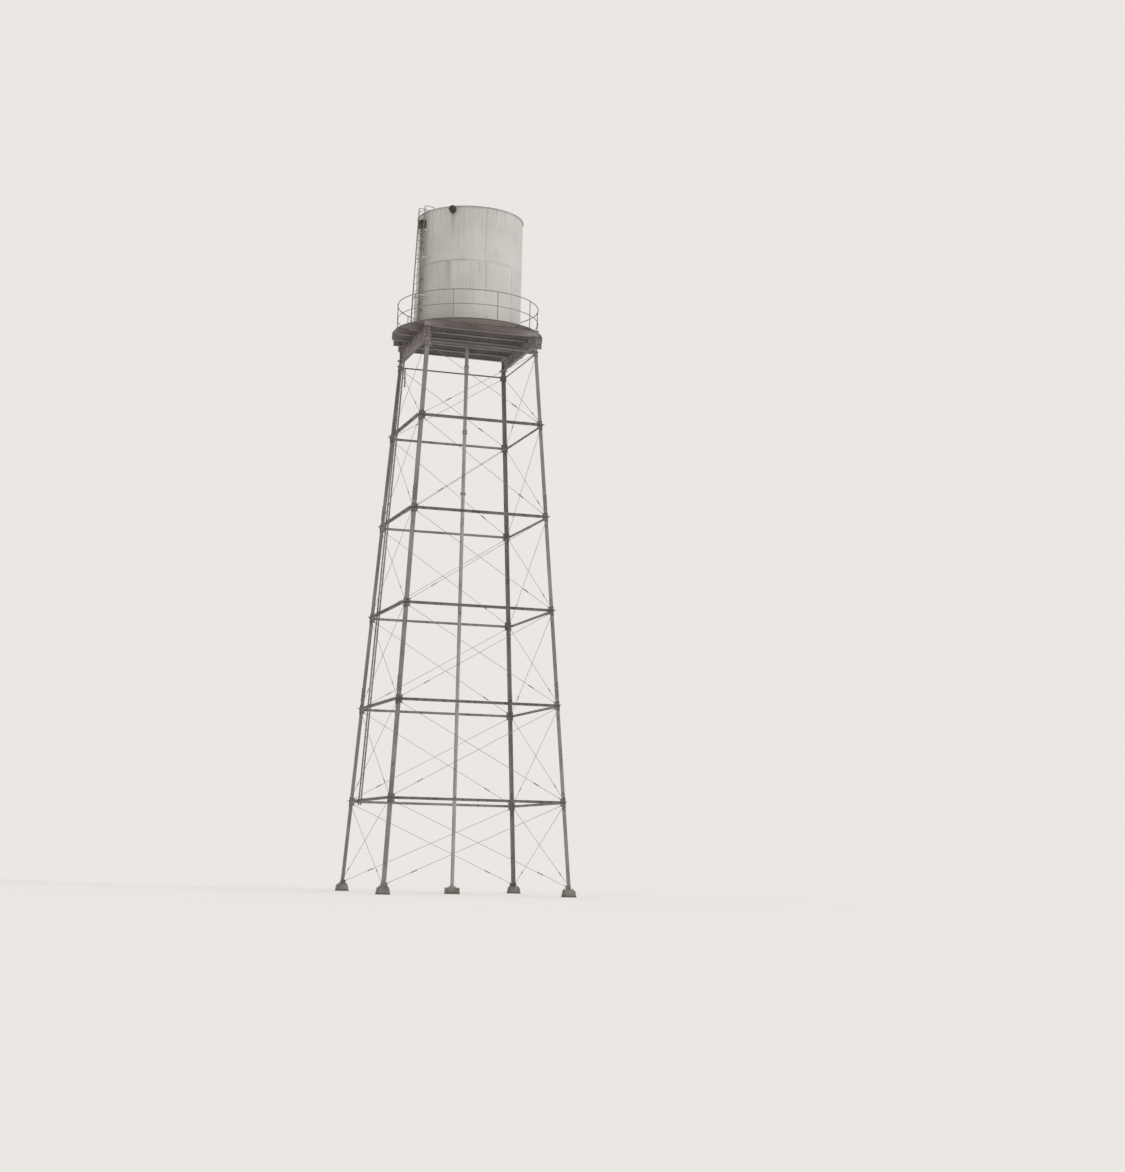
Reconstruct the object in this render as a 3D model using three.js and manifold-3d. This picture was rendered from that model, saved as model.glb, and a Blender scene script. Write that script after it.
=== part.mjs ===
// A small elevated water tank on a braced steel tower.
// Millimetres, +Z up. The origin is at ground level on the tower's centre line.
// The front is the -Y side and the left is the -X side.

import * as THREE from 'three';
import { mergeVertices } from 'three/addons/utils/BufferGeometryUtils.js';
import Module from 'manifold-3d';

const wasm = await Module();
wasm.setup();

// Where two pieces touch, this gap is left between their faces
const SEAT_GAP = 0.3;
// Two solids that are joined reach this far into each other
const FUSE = 1;

// Tower: half the distance between leg centre lines, at the ground and at the head struts
const FOOT_HALF = 3650;
const HEAD_HALF = 2235;
const HEAD_LEVEL = 21620;
const BATTER = (FOOT_HALF - HEAD_HALF) / HEAD_LEVEL;
const PANEL_HEIGHT = 3750;
const LOWEST_STRUTS = 3605;
const RING_COUNT = 5;

// Footings and legs
const PIER = { base: 480, top: 400, height: 260 };
const LEG = { width: 150, thick: 12, basePlate: 340, baseThick: 25, capPlate: 300, capThick: 20 };
const GUSSET = { thick: 11, reach: 250, neck: 110, height: 420, edge: 200 };

// Horizontal struts and diagonal rods
const STRUT = { size: 102, thick: 10 };
const HEAD_STRUT = { size: 60, thick: 7 };
// The strut corners are cut off square to the diagonal, this far out from the leg's centre line
const CORNER_REACH = 160;
const ROD = { side: 16, endInset: 165, endRise: 120 };

// Platform
const GIRDER = { depth: 390, width: 150, flange: 16, web: 11, halfLength: 2370 };
const JOIST = { depth: 239.4, width: 120, flange: 13, web: 9, count: 6, spacing: 890, overrun: 10 };
const DECK = { top: 22580, thick: 57, radius: 3080, riserHole: 100 };
const HATCHWAY = { left: -2790, right: -2330, front: 570, back: 1130 };

// Tank
const TANK = { radius: 2165, plate: 8, floorLip: 40, seamLevel: 25200, lap: 70, top: 27455 };
const TANK_SIDES = 64;
const ROOF = { slope: Math.tan(THREE.MathUtils.degToRad(8)), plate: 6, eave: 38 };
const ROOF_HATCH = { side: 600, radius: 1210, curbTop: 27680, lidLip: 25, lidThick: 25 };

// Pipes
const RISER = { radius: 75, bore: 67, foot: 150, footThick: 24, baseSide: 500, baseHeight: 250 };
const RISER_COLLARS = [
  { level: 16050, height: 70, radius: 120 },
  { level: 18605, height: 110, radius: 112 },
  { level: 21180, height: 340, radius: 118 },
];
const OVERFLOW = { angle: -166.5, width: 300, bottom: 26780, top: 27120, reach: 2340 };
const DOWNPIPE = { radius: 52, distance: 2268, bottom: 22760, spout: 150 };

// Ladders and handrail
const RUNG = { side: 20, pitch: 305, firstRise: 250, headroom: 30 };
const TOWER_LADDER = { offset: 850, width: 412, depth: 60, thick: 12, bottom: 3400, top: 22430 };
const TANK_LADDER = { angle: -160, width: 440, thick: 12, depth: 50, foot: 2635, head: 2395 };
const HANDLE = { top: 27620, reach: 1935 };
const RAIL = { radius: 2880, side: 42, topHeight: 1210, midHeight: 620, posts: 10, sides: 40 };
const POST = { side: 48, firstAngle: -117, plate: 120, plateThick: 10 };
const GAUGE = { angle: -124.1, radius: 150, level: 27305, inner: 2203, depth: 170, armHalf: 50 };

// Numbers of flats on the round pieces
const PIPE_SIDES = 16;
const DRUM_SIDES = 12;
const DOWNPIPE_SIDES = 8;

// Levels that follow from the sizes above
const LEG_FOOT = PIER.height + SEAT_GAP;
const LEG_FOOT_TOP = LEG_FOOT + LEG.baseThick;
const DECK_UNDERSIDE = DECK.top - DECK.thick;
const JOIST_BASE = DECK_UNDERSIDE - SEAT_GAP - JOIST.depth;
const GIRDER_BASE = JOIST_BASE - SEAT_GAP - GIRDER.depth;
const LEG_TOP = GIRDER_BASE - SEAT_GAP;
const FLOOR_BASE = DECK.top + SEAT_GAP;
const WALL_BASE = FLOOR_BASE + TANK.plate + SEAT_GAP;
const UPPER_RADIUS = TANK.radius - TANK.plate - SEAT_GAP;
const UPPER_BASE = TANK.seamLevel - TANK.lap;
const ROOF_SEAT = TANK.top + SEAT_GAP;

const halfAt = (level) => FOOT_HALF - BATTER * level;
const radians = THREE.MathUtils.degToRad;
const ringLevels = [];
for (let ring = 0; ring < RING_COUNT; ring += 1) {
  ringLevels.push(LOWEST_STRUTS + ring * PANEL_HEIGHT);
}

const finishes = {
  steel: { color: 0x5f5a56, roughness: 0.62, metalness: 0.35 },
  lightSteel: { color: 0x77716b, roughness: 0.6, metalness: 0.35 },
  tank: { color: 0xbdb8b0, roughness: 0.5, metalness: 0.1 },
  concrete: { color: 0x8f8a82, roughness: 0.9, metalness: 0 },
  timber: { color: 0x5e5348, roughness: 0.85, metalness: 0 },
  iron: { color: 0x4b4643, roughness: 0.7, metalness: 0.3 },
};

const tower = new THREE.Group();
tower.name = 'water_tower';

// Adds a named mesh of its own material to the tower
function addPiece(name, geometry, finish) {
  const material = new THREE.MeshStandardMaterial(finishes[finish]);
  const mesh = new THREE.Mesh(geometry, material);
  mesh.name = name;
  tower.add(mesh);
  return mesh;
}

// Solids and joins

function toSolid(geometry) {
  const bare = geometry.clone();
  bare.deleteAttribute('normal');
  bare.deleteAttribute('uv');
  const merged = mergeVertices(bare, 1e-3);
  const mesh = new wasm.Mesh({
    numProp: 3,
    vertProperties: new Float32Array(merged.attributes.position.array),
    triVerts: new Uint32Array(merged.index.array),
  });
  return new wasm.Manifold(mesh);
}

// Flat faces are made whole again before the mesh is read back
function toGeometry(body) {
  const mesh = body.asOriginal().getMesh();
  const geometry = new THREE.BufferGeometry();
  geometry.setAttribute('position', new THREE.BufferAttribute(new Float32Array(mesh.vertProperties), 3));
  geometry.setIndex(new THREE.BufferAttribute(new Uint32Array(mesh.triVerts), 1));
  geometry.computeVertexNormals();
  return geometry;
}

function join(geometries) {
  let body = toSolid(geometries[0]);
  for (const geometry of geometries.slice(1)) {
    body = body.add(toSolid(geometry));
  }
  return toGeometry(body);
}

function cut(geometry, tool) {
  return toGeometry(toSolid(geometry).subtract(toSolid(tool)));
}

// Plain shapes

// A box between two corners
function block(low, high) {
  const size = high.map((value, axis) => value - low[axis]);
  const geometry = new THREE.BoxGeometry(size[0], size[1], size[2]);
  const centre = high.map((value, axis) => (value + low[axis]) / 2);
  return geometry.translate(centre[0], centre[1], centre[2]);
}

// An outline of [a, b] points with a depth along the third axis
function extrude(points, depth) {
  const shape = new THREE.Shape(points.map(([a, b]) => new THREE.Vector2(a, b)));
  return new THREE.ExtrudeGeometry(shape, { depth, bevelEnabled: false });
}

// An outline in the Y and Z axes, drawn out along X and centred on it
function alongX(points, length) {
  const turn = new THREE.Matrix4().makeBasis(
    new THREE.Vector3(0, 1, 0),
    new THREE.Vector3(0, 0, 1),
    new THREE.Vector3(1, 0, 0),
  );
  return extrude(points, length).applyMatrix4(turn).translate(-length / 2, 0, 0);
}

// An outline in the X and Z axes, drawn out towards -Y from the given Y
function alongY(points, depth, startY) {
  return extrude(points, depth).rotateX(Math.PI / 2).translate(0, startY, 0);
}

// A ring or disc turned about the Z axis from a closed [radius, level] outline
function turned(outline, sides) {
  const points = outline.map(([radius, level]) => new THREE.Vector2(radius, level));
  return new THREE.LatheGeometry(points, sides).rotateX(Math.PI / 2);
}

// A hollow ring of rectangular section
function hoop(inner, outer, low, high, sides) {
  return turned([[inner, low], [outer, low], [outer, high], [inner, high], [inner, low]], sides);
}

function upright(radius, low, high, sides) {
  const geometry = new THREE.CylinderGeometry(radius, radius, high - low, sides);
  return geometry.rotateX(Math.PI / 2).translate(0, 0, (low + high) / 2);
}

// A square bar between two points of the X-Z plane, centred on the given Y
function slantBar(start, end, side, y) {
  const run = end[0] - start[0];
  const rise = end[1] - start[1];
  const bar = new THREE.BoxGeometry(Math.hypot(run, rise), side, side);
  bar.rotateY(-Math.atan2(rise, run));
  return bar.translate((start[0] + end[0]) / 2, y, (start[1] + end[1]) / 2);
}

function iSection({ depth, width, flange, web }) {
  const half = width / 2;
  const halfWeb = web / 2;
  return [
    [-half, 0], [half, 0], [half, flange], [halfWeb, flange],
    [halfWeb, depth - flange], [half, depth - flange], [half, depth], [-half, depth],
    [-half, depth - flange], [-halfWeb, depth - flange], [-halfWeb, flange], [-half, flange],
  ];
}

// Placing

// Leans a piece drawn beside the front left leg's centre line, so that it follows the leg
function alongLeg(geometry) {
  const lean = new THREE.Matrix4().set(
    1, 0, BATTER, -FOOT_HALF,
    0, 1, BATTER, -FOOT_HALF,
    0, 0, 1, 0,
    0, 0, 0, 1,
  );
  return geometry.applyMatrix4(lean);
}

// Leans a piece drawn against the front face, with Y = 0 in the plane of the leg centre lines
function alongFace(geometry) {
  const lean = new THREE.Matrix4().set(
    1, 0, 0, 0,
    0, 1, BATTER, -FOOT_HALF,
    0, 0, 1, 0,
    0, 0, 0, 1,
  );
  return geometry.applyMatrix4(lean);
}

const quarterTurns = (geometry, turns) => geometry.rotateZ(turns * Math.PI / 2);

// A quarter turn carries the front left corner to the front right, and the front face to the right
const corners = ['front_left', 'front_right', 'back_right', 'back_left'];
const faces = ['front', 'right', 'back', 'left'];
const LEFT_FACE = faces.indexOf('left');

// Footings and legs

function makePier() {
  const toRadius = Math.SQRT1_2;
  const geometry = new THREE.CylinderGeometry(
    PIER.top * toRadius,
    PIER.base * toRadius,
    PIER.height,
    4,
  );
  geometry.rotateY(Math.PI / 4).rotateX(Math.PI / 2);
  return geometry.translate(-FOOT_HALF, -FOOT_HALF, PIER.height / 2);
}

// Gusset plate on the leg's front or left flange, from the heel towards the middle of the face
function makeGusset(level, side, lowerHalf) {
  const heel = -LEG.width / 2;
  const half = GUSSET.height / 2;
  const edge = GUSSET.edge / 2;
  const wholeBottom = [[0, -half], [GUSSET.neck, -half], [GUSSET.reach, -edge]];
  const cutBottom = [[0, 0], [GUSSET.reach, 0]];
  const bottom = lowerHalf ? wholeBottom : cutBottom;
  const outline = [...bottom, [GUSSET.reach, edge], [GUSSET.neck, half], [0, half]];
  const mirror = side === 'front' ? 1 : -1;
  const points = outline.map(([reach, rise]) => [mirror * (heel + reach), level + rise]);
  const plate = alongY(points, GUSSET.thick, heel + FUSE);
  return side === 'front' ? plate : plate.rotateZ(-Math.PI / 2);
}

function makeLeg() {
  const half = LEG.width / 2;
  const inner = -half + LEG.thick;
  const angle = [[-half, -half], [half, -half], [half, inner], [inner, inner], [inner, half], [-half, half]];
  const shaftBottom = LEG_FOOT_TOP - FUSE;
  const shaftTop = LEG_TOP - LEG.capThick + FUSE;
  const shaft = extrude(angle, shaftTop - shaftBottom).translate(0, 0, shaftBottom);
  const foot = LEG.basePlate / 2;
  const cap = LEG.capPlate / 2;
  const pieces = [
    shaft,
    block([-foot, -foot, LEG_FOOT], [foot, foot, LEG_FOOT_TOP]),
    block([-cap, -cap, LEG_TOP - LEG.capThick], [cap, cap, LEG_TOP]),
  ];
  for (const side of ['front', 'left']) {
    pieces.push(makeGusset(LEG_FOOT_TOP - FUSE, side, false));
    for (const level of [...ringLevels, HEAD_LEVEL]) {
      pieces.push(makeGusset(level, side, true));
    }
  }
  return alongLeg(join(pieces));
}

corners.forEach((corner, turns) => {
  addPiece(`pier_${corner}`, quarterTurns(makePier(), turns), 'concrete');
  addPiece(`leg_${corner}`, quarterTurns(makeLeg(), turns), 'steel');
});

// Horizontal struts: four plumb angles round the outside of the legs, joined at the corners.
// The foot of each standing flange bears on the leaning gusset plates.

const GUSSET_FACE = LEG.width / 2 - FUSE + GUSSET.thick;
const strutBack = (size) => GUSSET_FACE + SEAT_GAP + BATTER * size / 2;

function makeStrutRing(level, { size, thick }) {
  const back = halfAt(level) + strutBack(size);
  const front = back + size;
  const low = level - size / 2;
  const high = level + size / 2;
  const angle = [
    [back, low], [back + thick, low], [back + thick, high - thick],
    [front, high - thick], [front, high], [back, high], [back, low],
  ];
  const atCorner = angle.map(([reach, rise]) => [reach * Math.SQRT2, rise]);
  const ring = turned(atCorner, faces.length).rotateZ(Math.PI / 4);
  const clip = halfAt(level) * Math.SQRT2 + CORNER_REACH;
  const beyond = hoop(clip * Math.SQRT2, 2 * clip, low - FUSE, high + FUSE, faces.length);
  return cut(ring, beyond);
}

ringLevels.forEach((level, index) => {
  addPiece(`strut_ring_${index + 1}`, makeStrutRing(level, STRUT), 'steel');
});
addPiece('strut_ring_head', makeStrutRing(HEAD_LEVEL, HEAD_STRUT), 'steel');

// Diagonal rods: one crossed pair in each face of each panel, behind the gusset plates

function makeCrossedRods(low, high) {
  const plane = -(LEG.width / 2 - FUSE - SEAT_GAP - ROD.side / 2);
  const inset = ROD.endInset - LEG.width / 2;
  const lowHalf = halfAt(low) - inset;
  const highHalf = halfAt(high) - inset;
  const rising = slantBar([-lowHalf, low], [highHalf, high], ROD.side, plane);
  const falling = slantBar([-highHalf, high], [lowHalf, low], ROD.side, plane);
  return alongFace(join([rising, falling]));
}

const panelLevels = [LEG_FOOT_TOP, ...ringLevels, HEAD_LEVEL];
for (let panel = 0; panel < panelLevels.length - 1; panel += 1) {
  const low = panelLevels[panel] + ROD.endRise;
  const high = panelLevels[panel + 1] - ROD.endRise;
  faces.forEach((face, turns) => {
    const rods = quarterTurns(makeCrossedRods(low, high), turns);
    addPiece(`rods_${face}_${panel + 1}`, rods, 'steel');
  });
}

// Platform: two girders on the leg tops, joists across them, and the round deck

const girderOffset = halfAt(LEG_TOP);
for (const [side, direction] of [['left', -1], ['right', 1]]) {
  const girder = alongX(iSection(GIRDER), 2 * GIRDER.halfLength).rotateZ(Math.PI / 2);
  addPiece(`girder_${side}`, girder.translate(direction * girderOffset, 0, GIRDER_BASE), 'lightSteel');
}

for (let joist = 0; joist < JOIST.count; joist += 1) {
  const y = (joist - (JOIST.count - 1) / 2) * JOIST.spacing;
  const chord = Math.sqrt(DECK.radius ** 2 - y ** 2) + JOIST.overrun;
  const bearing = girderOffset + GIRDER.width;
  const beam = alongX(iSection(JOIST), 2 * Math.max(chord, bearing));
  addPiece(`joist_${joist + 1}`, beam.translate(0, y, JOIST_BASE), 'iron');
}

function makeDeck() {
  const outline = new THREE.Shape();
  outline.absarc(0, 0, DECK.radius, 0, 2 * Math.PI, false);
  const riserHole = new THREE.Path();
  riserHole.absarc(0, 0, DECK.riserHole, 0, 2 * Math.PI, true);
  const { left, right, front, back } = HATCHWAY;
  const hatchway = new THREE.Path([
    new THREE.Vector2(left, front),
    new THREE.Vector2(left, back),
    new THREE.Vector2(right, back),
    new THREE.Vector2(right, front),
  ]);
  outline.holes.push(riserHole, hatchway);
  const options = { depth: DECK.thick, bevelEnabled: false, curveSegments: TANK_SIDES / 2 };
  return new THREE.ExtrudeGeometry(outline, options).translate(0, 0, DECK_UNDERSIDE);
}
addPiece('deck', makeDeck(), 'timber');

// Tank: a floor plate, two courses of plate that lap at the seam, and a low cone for a roof

const roofUnderside = (radius) => ROOF_SEAT + (UPPER_RADIUS - radius) * ROOF.slope;
const roofSurface = (radius) => roofUnderside(radius) + ROOF.plate;

addPiece(
  'tank_floor',
  upright(TANK.radius + TANK.floorLip, FLOOR_BASE, FLOOR_BASE + TANK.plate, TANK_SIDES),
  'tank',
);
addPiece(
  'tank_lower_course',
  hoop(TANK.radius - TANK.plate, TANK.radius, WALL_BASE, TANK.seamLevel, TANK_SIDES),
  'tank',
);
addPiece(
  'tank_upper_course',
  hoop(UPPER_RADIUS - TANK.plate, UPPER_RADIUS, UPPER_BASE, TANK.top, TANK_SIDES),
  'tank',
);

function makeRoof() {
  const eave = UPPER_RADIUS + ROOF.eave;
  const outline = [
    [0, roofUnderside(0)],
    [eave, roofUnderside(eave)],
    [eave, roofSurface(eave)],
    [0, roofSurface(0)],
  ];
  return join([turned(outline, TANK_SIDES)]);
}
addPiece('tank_roof', makeRoof(), 'tank');

function makeRoofHatch() {
  const half = ROOF_HATCH.side / 2;
  const lid = half + ROOF_HATCH.lidLip;
  const { radius, curbTop, lidThick } = ROOF_HATCH;
  const curb = block([radius - half, -half, TANK.top], [radius + half, half, curbTop]);
  const cover = block([radius - lid, -lid, curbTop - FUSE], [radius + lid, lid, curbTop + lidThick]);
  const hatch = join([curb, cover]).rotateZ(radians(TANK_LADDER.angle));
  const reach = UPPER_RADIUS + ROOF.eave;
  const belowRoof = turned(
    [
      [0, TANK.top - ROOF.eave],
      [reach, TANK.top - ROOF.eave],
      [reach, roofSurface(reach) + SEAT_GAP],
      [0, roofSurface(0) + SEAT_GAP],
    ],
    TANK_SIDES,
  );
  return cut(hatch, belowRoof);
}
addPiece('roof_hatch', makeRoofHatch(), 'tank');

// Riser pipe on its own footing

const riserFoot = RISER.baseHeight + SEAT_GAP;

function makeRiser() {
  const pipe = hoop(RISER.bore, RISER.radius, riserFoot, DECK.top, PIPE_SIDES);
  const inner = RISER.bore + FUSE;
  const flange = hoop(inner, RISER.foot, riserFoot, riserFoot + RISER.footThick, PIPE_SIDES);
  const collars = RISER_COLLARS.map(({ level, height, radius }) => (
    hoop(inner, radius, level - height / 2, level + height / 2, PIPE_SIDES)
  ));
  return join([pipe, flange, ...collars]);
}
addPiece('riser_pipe', makeRiser(), 'steel');

const riserBase = RISER.baseSide / 2;
addPiece(
  'riser_base',
  block([-riserBase, -riserBase, 0], [riserBase, riserBase, RISER.baseHeight]),
  'concrete',
);

// Pieces on the tank wall are cut back from the curve of the plates

function clearOfWall(geometry) {
  const lower = upright(TANK.radius + SEAT_GAP, DECK.top, TANK.seamLevel + SEAT_GAP, TANK_SIDES);
  const upper = upright(UPPER_RADIUS + SEAT_GAP, TANK.seamLevel, TANK.top + SEAT_GAP, TANK_SIDES);
  return cut(cut(geometry, lower), upper);
}

function makeOverflow() {
  const half = OVERFLOW.width / 2;
  const { distance, radius, bottom, spout } = DOWNPIPE;
  const inner = UPPER_RADIUS - TANK.plate;
  const box = block([inner, -half, OVERFLOW.bottom], [OVERFLOW.reach, half, OVERFLOW.top]);
  const pipe = upright(radius, bottom, OVERFLOW.bottom + FUSE, DOWNPIPE_SIDES);
  pipe.translate(distance, 0, 0);
  const elbow = new THREE.CylinderGeometry(radius, radius, radius + spout, DOWNPIPE_SIDES);
  elbow.rotateZ(Math.PI / 2).translate(distance + (radius + spout) / 2, 0, bottom + radius);
  const overflow = join([box, pipe, elbow]).rotateZ(radians(OVERFLOW.angle));
  return clearOfWall(overflow);
}
addPiece('overflow', makeOverflow(), 'iron');

function makeGauge() {
  const { radius, level, inner, depth, armHalf } = GAUGE;
  const drum = new THREE.CylinderGeometry(radius, radius, depth, DRUM_SIDES);
  drum.rotateZ(Math.PI / 2).translate(inner + depth / 2, 0, level);
  const armStart = UPPER_RADIUS - TANK.plate;
  const armTop = TANK.top - armHalf;
  const arm = block([armStart, -armHalf, level - radius], [inner + FUSE, armHalf, armTop]);
  return clearOfWall(join([drum, arm]).rotateZ(radians(GAUGE.angle)));
}
addPiece('gauge_head', makeGauge(), 'iron');

// Ladders

// Rungs between two stiles, centred on X = 0, with each rung's Y given by a formula of its level
function makeRungs(low, high, length, yAt) {
  const half = RUNG.side / 2;
  const rungs = [];
  for (let level = low; level <= high; level += RUNG.pitch) {
    const y = yAt(level);
    rungs.push(block([-length / 2, y - half, level - half], [length / 2, y + half, level + half]));
  }
  return rungs;
}

function makeTowerLadder() {
  const { offset, width, depth, thick, bottom, top } = TOWER_LADDER;
  const inner = -(strutBack(STRUT.size) + STRUT.size + BATTER * STRUT.size / 2 + SEAT_GAP);
  const outer = inner - depth;
  const half = width / 2;
  const stiles = [-1, 1].map((side) => {
    const near = side * (half - thick);
    const far = side * half;
    return block([Math.min(near, far), outer, bottom], [Math.max(near, far), inner, top]);
  });
  const rungLength = width - 2 * thick + 2 * FUSE;
  const first = bottom + RUNG.firstRise;
  const rungs = makeRungs(first, top - RUNG.headroom, rungLength, () => (inner + outer) / 2);
  const ladder = join([...stiles, ...rungs]).translate(-offset, 0, 0);
  return quarterTurns(alongFace(ladder), LEFT_FACE);
}
addPiece('tower_ladder', makeTowerLadder(), 'steel');

function makeTankLadder() {
  const { width, thick, depth, foot, head, angle } = TANK_LADDER;
  const floor = DECK.top + SEAT_GAP;
  const handleFoot = roofSurface(HANDLE.reach) + SEAT_GAP;
  const profile = [
    [foot, floor], [foot + depth, floor],
    [head + depth, TANK.top], [head + depth, HANDLE.top],
    [HANDLE.reach, HANDLE.top], [HANDLE.reach, handleFoot],
    [HANDLE.reach + depth, handleFoot], [HANDLE.reach + depth, HANDLE.top - depth],
    [head, HANDLE.top - depth], [head, TANK.top],
  ];
  const half = width / 2;
  const stiles = [half, thick - half].map((startY) => alongY(profile, thick, startY));
  const lean = (foot - head) / (TANK.top - floor);
  const radiusAt = (level) => foot - lean * (level - floor) + depth / 2;
  const rungLength = width - 2 * thick + 2 * FUSE;
  const first = floor + RUNG.firstRise;
  const rungs = makeRungs(first, TANK.top, rungLength, (level) => -radiusAt(level));
  const turnedRungs = rungs.map((rung) => rung.rotateZ(Math.PI / 2));
  return join([...stiles, ...turnedRungs]).rotateZ(radians(angle));
}
addPiece('tank_ladder', makeTankLadder(), 'steel');

// Handrail: posts, a top rail and a middle rail round the deck

function makeHandrail() {
  const half = RAIL.side / 2;
  const rails = [RAIL.topHeight, RAIL.midHeight].map((height) => {
    const level = DECK.top + height;
    return hoop(RAIL.radius - half, RAIL.radius + half, level - half, level + half, RAIL.sides);
  });
  const pieces = [...rails];
  const floor = DECK.top + SEAT_GAP;
  const side = POST.side / 2;
  const plate = POST.plate / 2;
  for (let post = 0; post < RAIL.posts; post += 1) {
    const angle = radians(POST.firstAngle + post * 360 / RAIL.posts);
    const column = block(
      [RAIL.radius - side, -side, floor],
      [RAIL.radius + side, side, DECK.top + RAIL.topHeight],
    );
    const foot = block(
      [RAIL.radius - plate, -plate, floor],
      [RAIL.radius + plate, plate, floor + POST.plateThick],
    );
    pieces.push(join([column, foot]).rotateZ(angle));
  }
  return join(pieces);
}
addPiece('handrail', makeHandrail(), 'lightSteel');

export default tower;
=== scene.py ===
"""Looks of an elevated water tank on a braced steel tower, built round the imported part.

Metres, +Z up, origin at ground level on the tower's centre line. The front is the -Y side.
"""

import logging
import math
import random
from dataclasses import dataclass, field
from enum import Enum
from itertools import product
from typing import Callable, Dict, List, Sequence, Tuple, Union

import bmesh
import bpy
from mathutils import Matrix, Vector


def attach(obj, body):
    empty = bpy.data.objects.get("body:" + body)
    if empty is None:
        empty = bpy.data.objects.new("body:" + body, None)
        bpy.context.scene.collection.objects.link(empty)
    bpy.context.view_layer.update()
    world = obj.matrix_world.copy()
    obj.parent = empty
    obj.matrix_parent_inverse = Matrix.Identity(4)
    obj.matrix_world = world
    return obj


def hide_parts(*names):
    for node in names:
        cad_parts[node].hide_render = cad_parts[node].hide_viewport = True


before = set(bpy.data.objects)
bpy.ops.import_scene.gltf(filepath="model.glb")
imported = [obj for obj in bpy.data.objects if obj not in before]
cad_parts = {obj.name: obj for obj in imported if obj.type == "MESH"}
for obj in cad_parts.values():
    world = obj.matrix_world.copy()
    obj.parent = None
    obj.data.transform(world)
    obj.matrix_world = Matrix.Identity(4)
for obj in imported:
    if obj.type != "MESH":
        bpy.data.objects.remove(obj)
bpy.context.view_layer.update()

logging.basicConfig(level=logging.INFO, format="%(message)s")
log = logging.getLogger("water_tower")

Spot = Tuple[float, float]
Spots = Tuple[Spot, ...]
Row = Tuple[float, ...]
Point = Tuple[float, float, float]
Outline = List[Spot]
Placer = Callable[[float, float, float], Point]
Rail = Callable[[float, float], Point]
Value = Union["Sock", float, Sequence[float]]
Colour = Tuple[float, float, float, float]

FACES = ("front", "right", "back", "left")
CORNERS = ("front_left", "front_right", "back_right", "back_left")
LEFT = FACES.index("left")
SIDES = (-1, 1)
TURN = 2 * math.pi
UP = (0, 0, 1)
DOWN = (0, 0, -1)
# The gaps left between pieces that touch, and how much plates and bars lose at their edges
GAP = 0.0003
BED = 0.0005
FINE_EDGE = 0.001
EDGE = 0.0015
HEAVY_EDGE = 0.002
# Faces that meet at more than this stay sharp
CREASE = math.radians(32)


def srgb(red: int, green: int, blue: int) -> Colour:
    """A colour given as screen values from 0 to 255, as the linear values that a shader takes."""
    parts = [value / 255 for value in (red, green, blue)]
    return (*(v / 12.92 if v <= 0.04045 else ((v + 0.055) / 1.055) ** 2.4 for v in parts), 1.0)


# Outlines


def inset(outline: Outline, by: float) -> Outline:
    """Moves every edge of an outline inwards.

    Args:
        outline: Corners, anticlockwise.
        by: Distance, in metres.

    Returns:
        As many corners, moved along the mitres.
    """
    corners = []
    for index, (x, y) in enumerate(outline):
        before = outline[index - 1]
        after = outline[(index + 1) % len(outline)]
        first = Vector((x - before[0], y - before[1])).normalized()
        second = Vector((after[0] - x, after[1] - y)).normalized()
        normal = Vector((-first.y - second.y, first.x + second.x))
        scale = by / max(0.2, 1 + first.dot(second))
        corners.append((x + normal.x * scale, y + normal.y * scale))
    return corners


def arc(centre: Spot, radius: float, first: float, last: float, steps: int) -> Outline:
    """Points along an arc from one direction to another, in degrees, with both its ends."""
    turns = [math.radians(first + (last - first) * step / steps) for step in range(steps + 1)]
    return [(centre[0] + radius * math.cos(turn), centre[1] + radius * math.sin(turn)) for turn in turns]


def half_band(centre: Spot, inner: float, outer: float, first: float) -> Outline:
    """Half of a flat ring, from a direction in degrees, for a strap half way round a pipe."""
    last = first + 180
    return arc(centre, outer, first, last, 12) + arc(centre, inner, last, first, 12)


def rounded(corners: Sequence[Row], steps: int = 3) -> Outline:
    """Rounds the corners of an outline.

    Args:
        corners: For each corner its place and its radius, where 0 leaves it sharp.
        steps: Number of flats round each corner.

    Returns:
        The outline with its corners rounded.
    """
    outline: Outline = []
    for index, (x, y, radius) in enumerate(corners):
        if radius <= 0:
            outline.append((x, y))
            continue
        here = Vector((x, y))
        to_before = (Vector(corners[index - 1][:2]) - here).normalized()
        to_after = (Vector(corners[(index + 1) % len(corners)][:2]) - here).normalized()
        half_angle = math.acos(max(-1.0, min(1.0, to_before.dot(to_after)))) / 2
        reach = radius / math.tan(half_angle)
        centre = here + (to_before + to_after).normalized() * (radius / math.sin(half_angle))
        start = here + to_before * reach - centre
        finish = here + to_after * reach - centre
        first = math.atan2(start.y, start.x)
        sweep = (math.atan2(finish.y, finish.x) - first + math.pi) % TURN - math.pi
        for step in range(steps + 1):
            angle = first + sweep * step / steps
            outline.append((centre.x + radius * math.cos(angle), centre.y + radius * math.sin(angle)))
    return outline


def rounded_square(half: float, radius: float) -> Outline:
    """A square round the origin, with rounded corners."""
    square = [(-half, -half, radius), (half, -half, radius), (half, half, radius), (-half, half, radius)]
    return rounded(square, 5)


def rectangle(low: Spot, high: Spot) -> Outline:
    """A rectangle between two corners."""
    return [(low[0], low[1]), (high[0], low[1]), (high[0], high[1]), (low[0], high[1])]


def ring_of(radius: float, sides: int) -> Outline:
    """A regular outline round the origin."""
    turns = [TURN * side / sides for side in range(sides)]
    return [(radius * math.cos(turn), radius * math.sin(turn)) for turn in turns]


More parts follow.
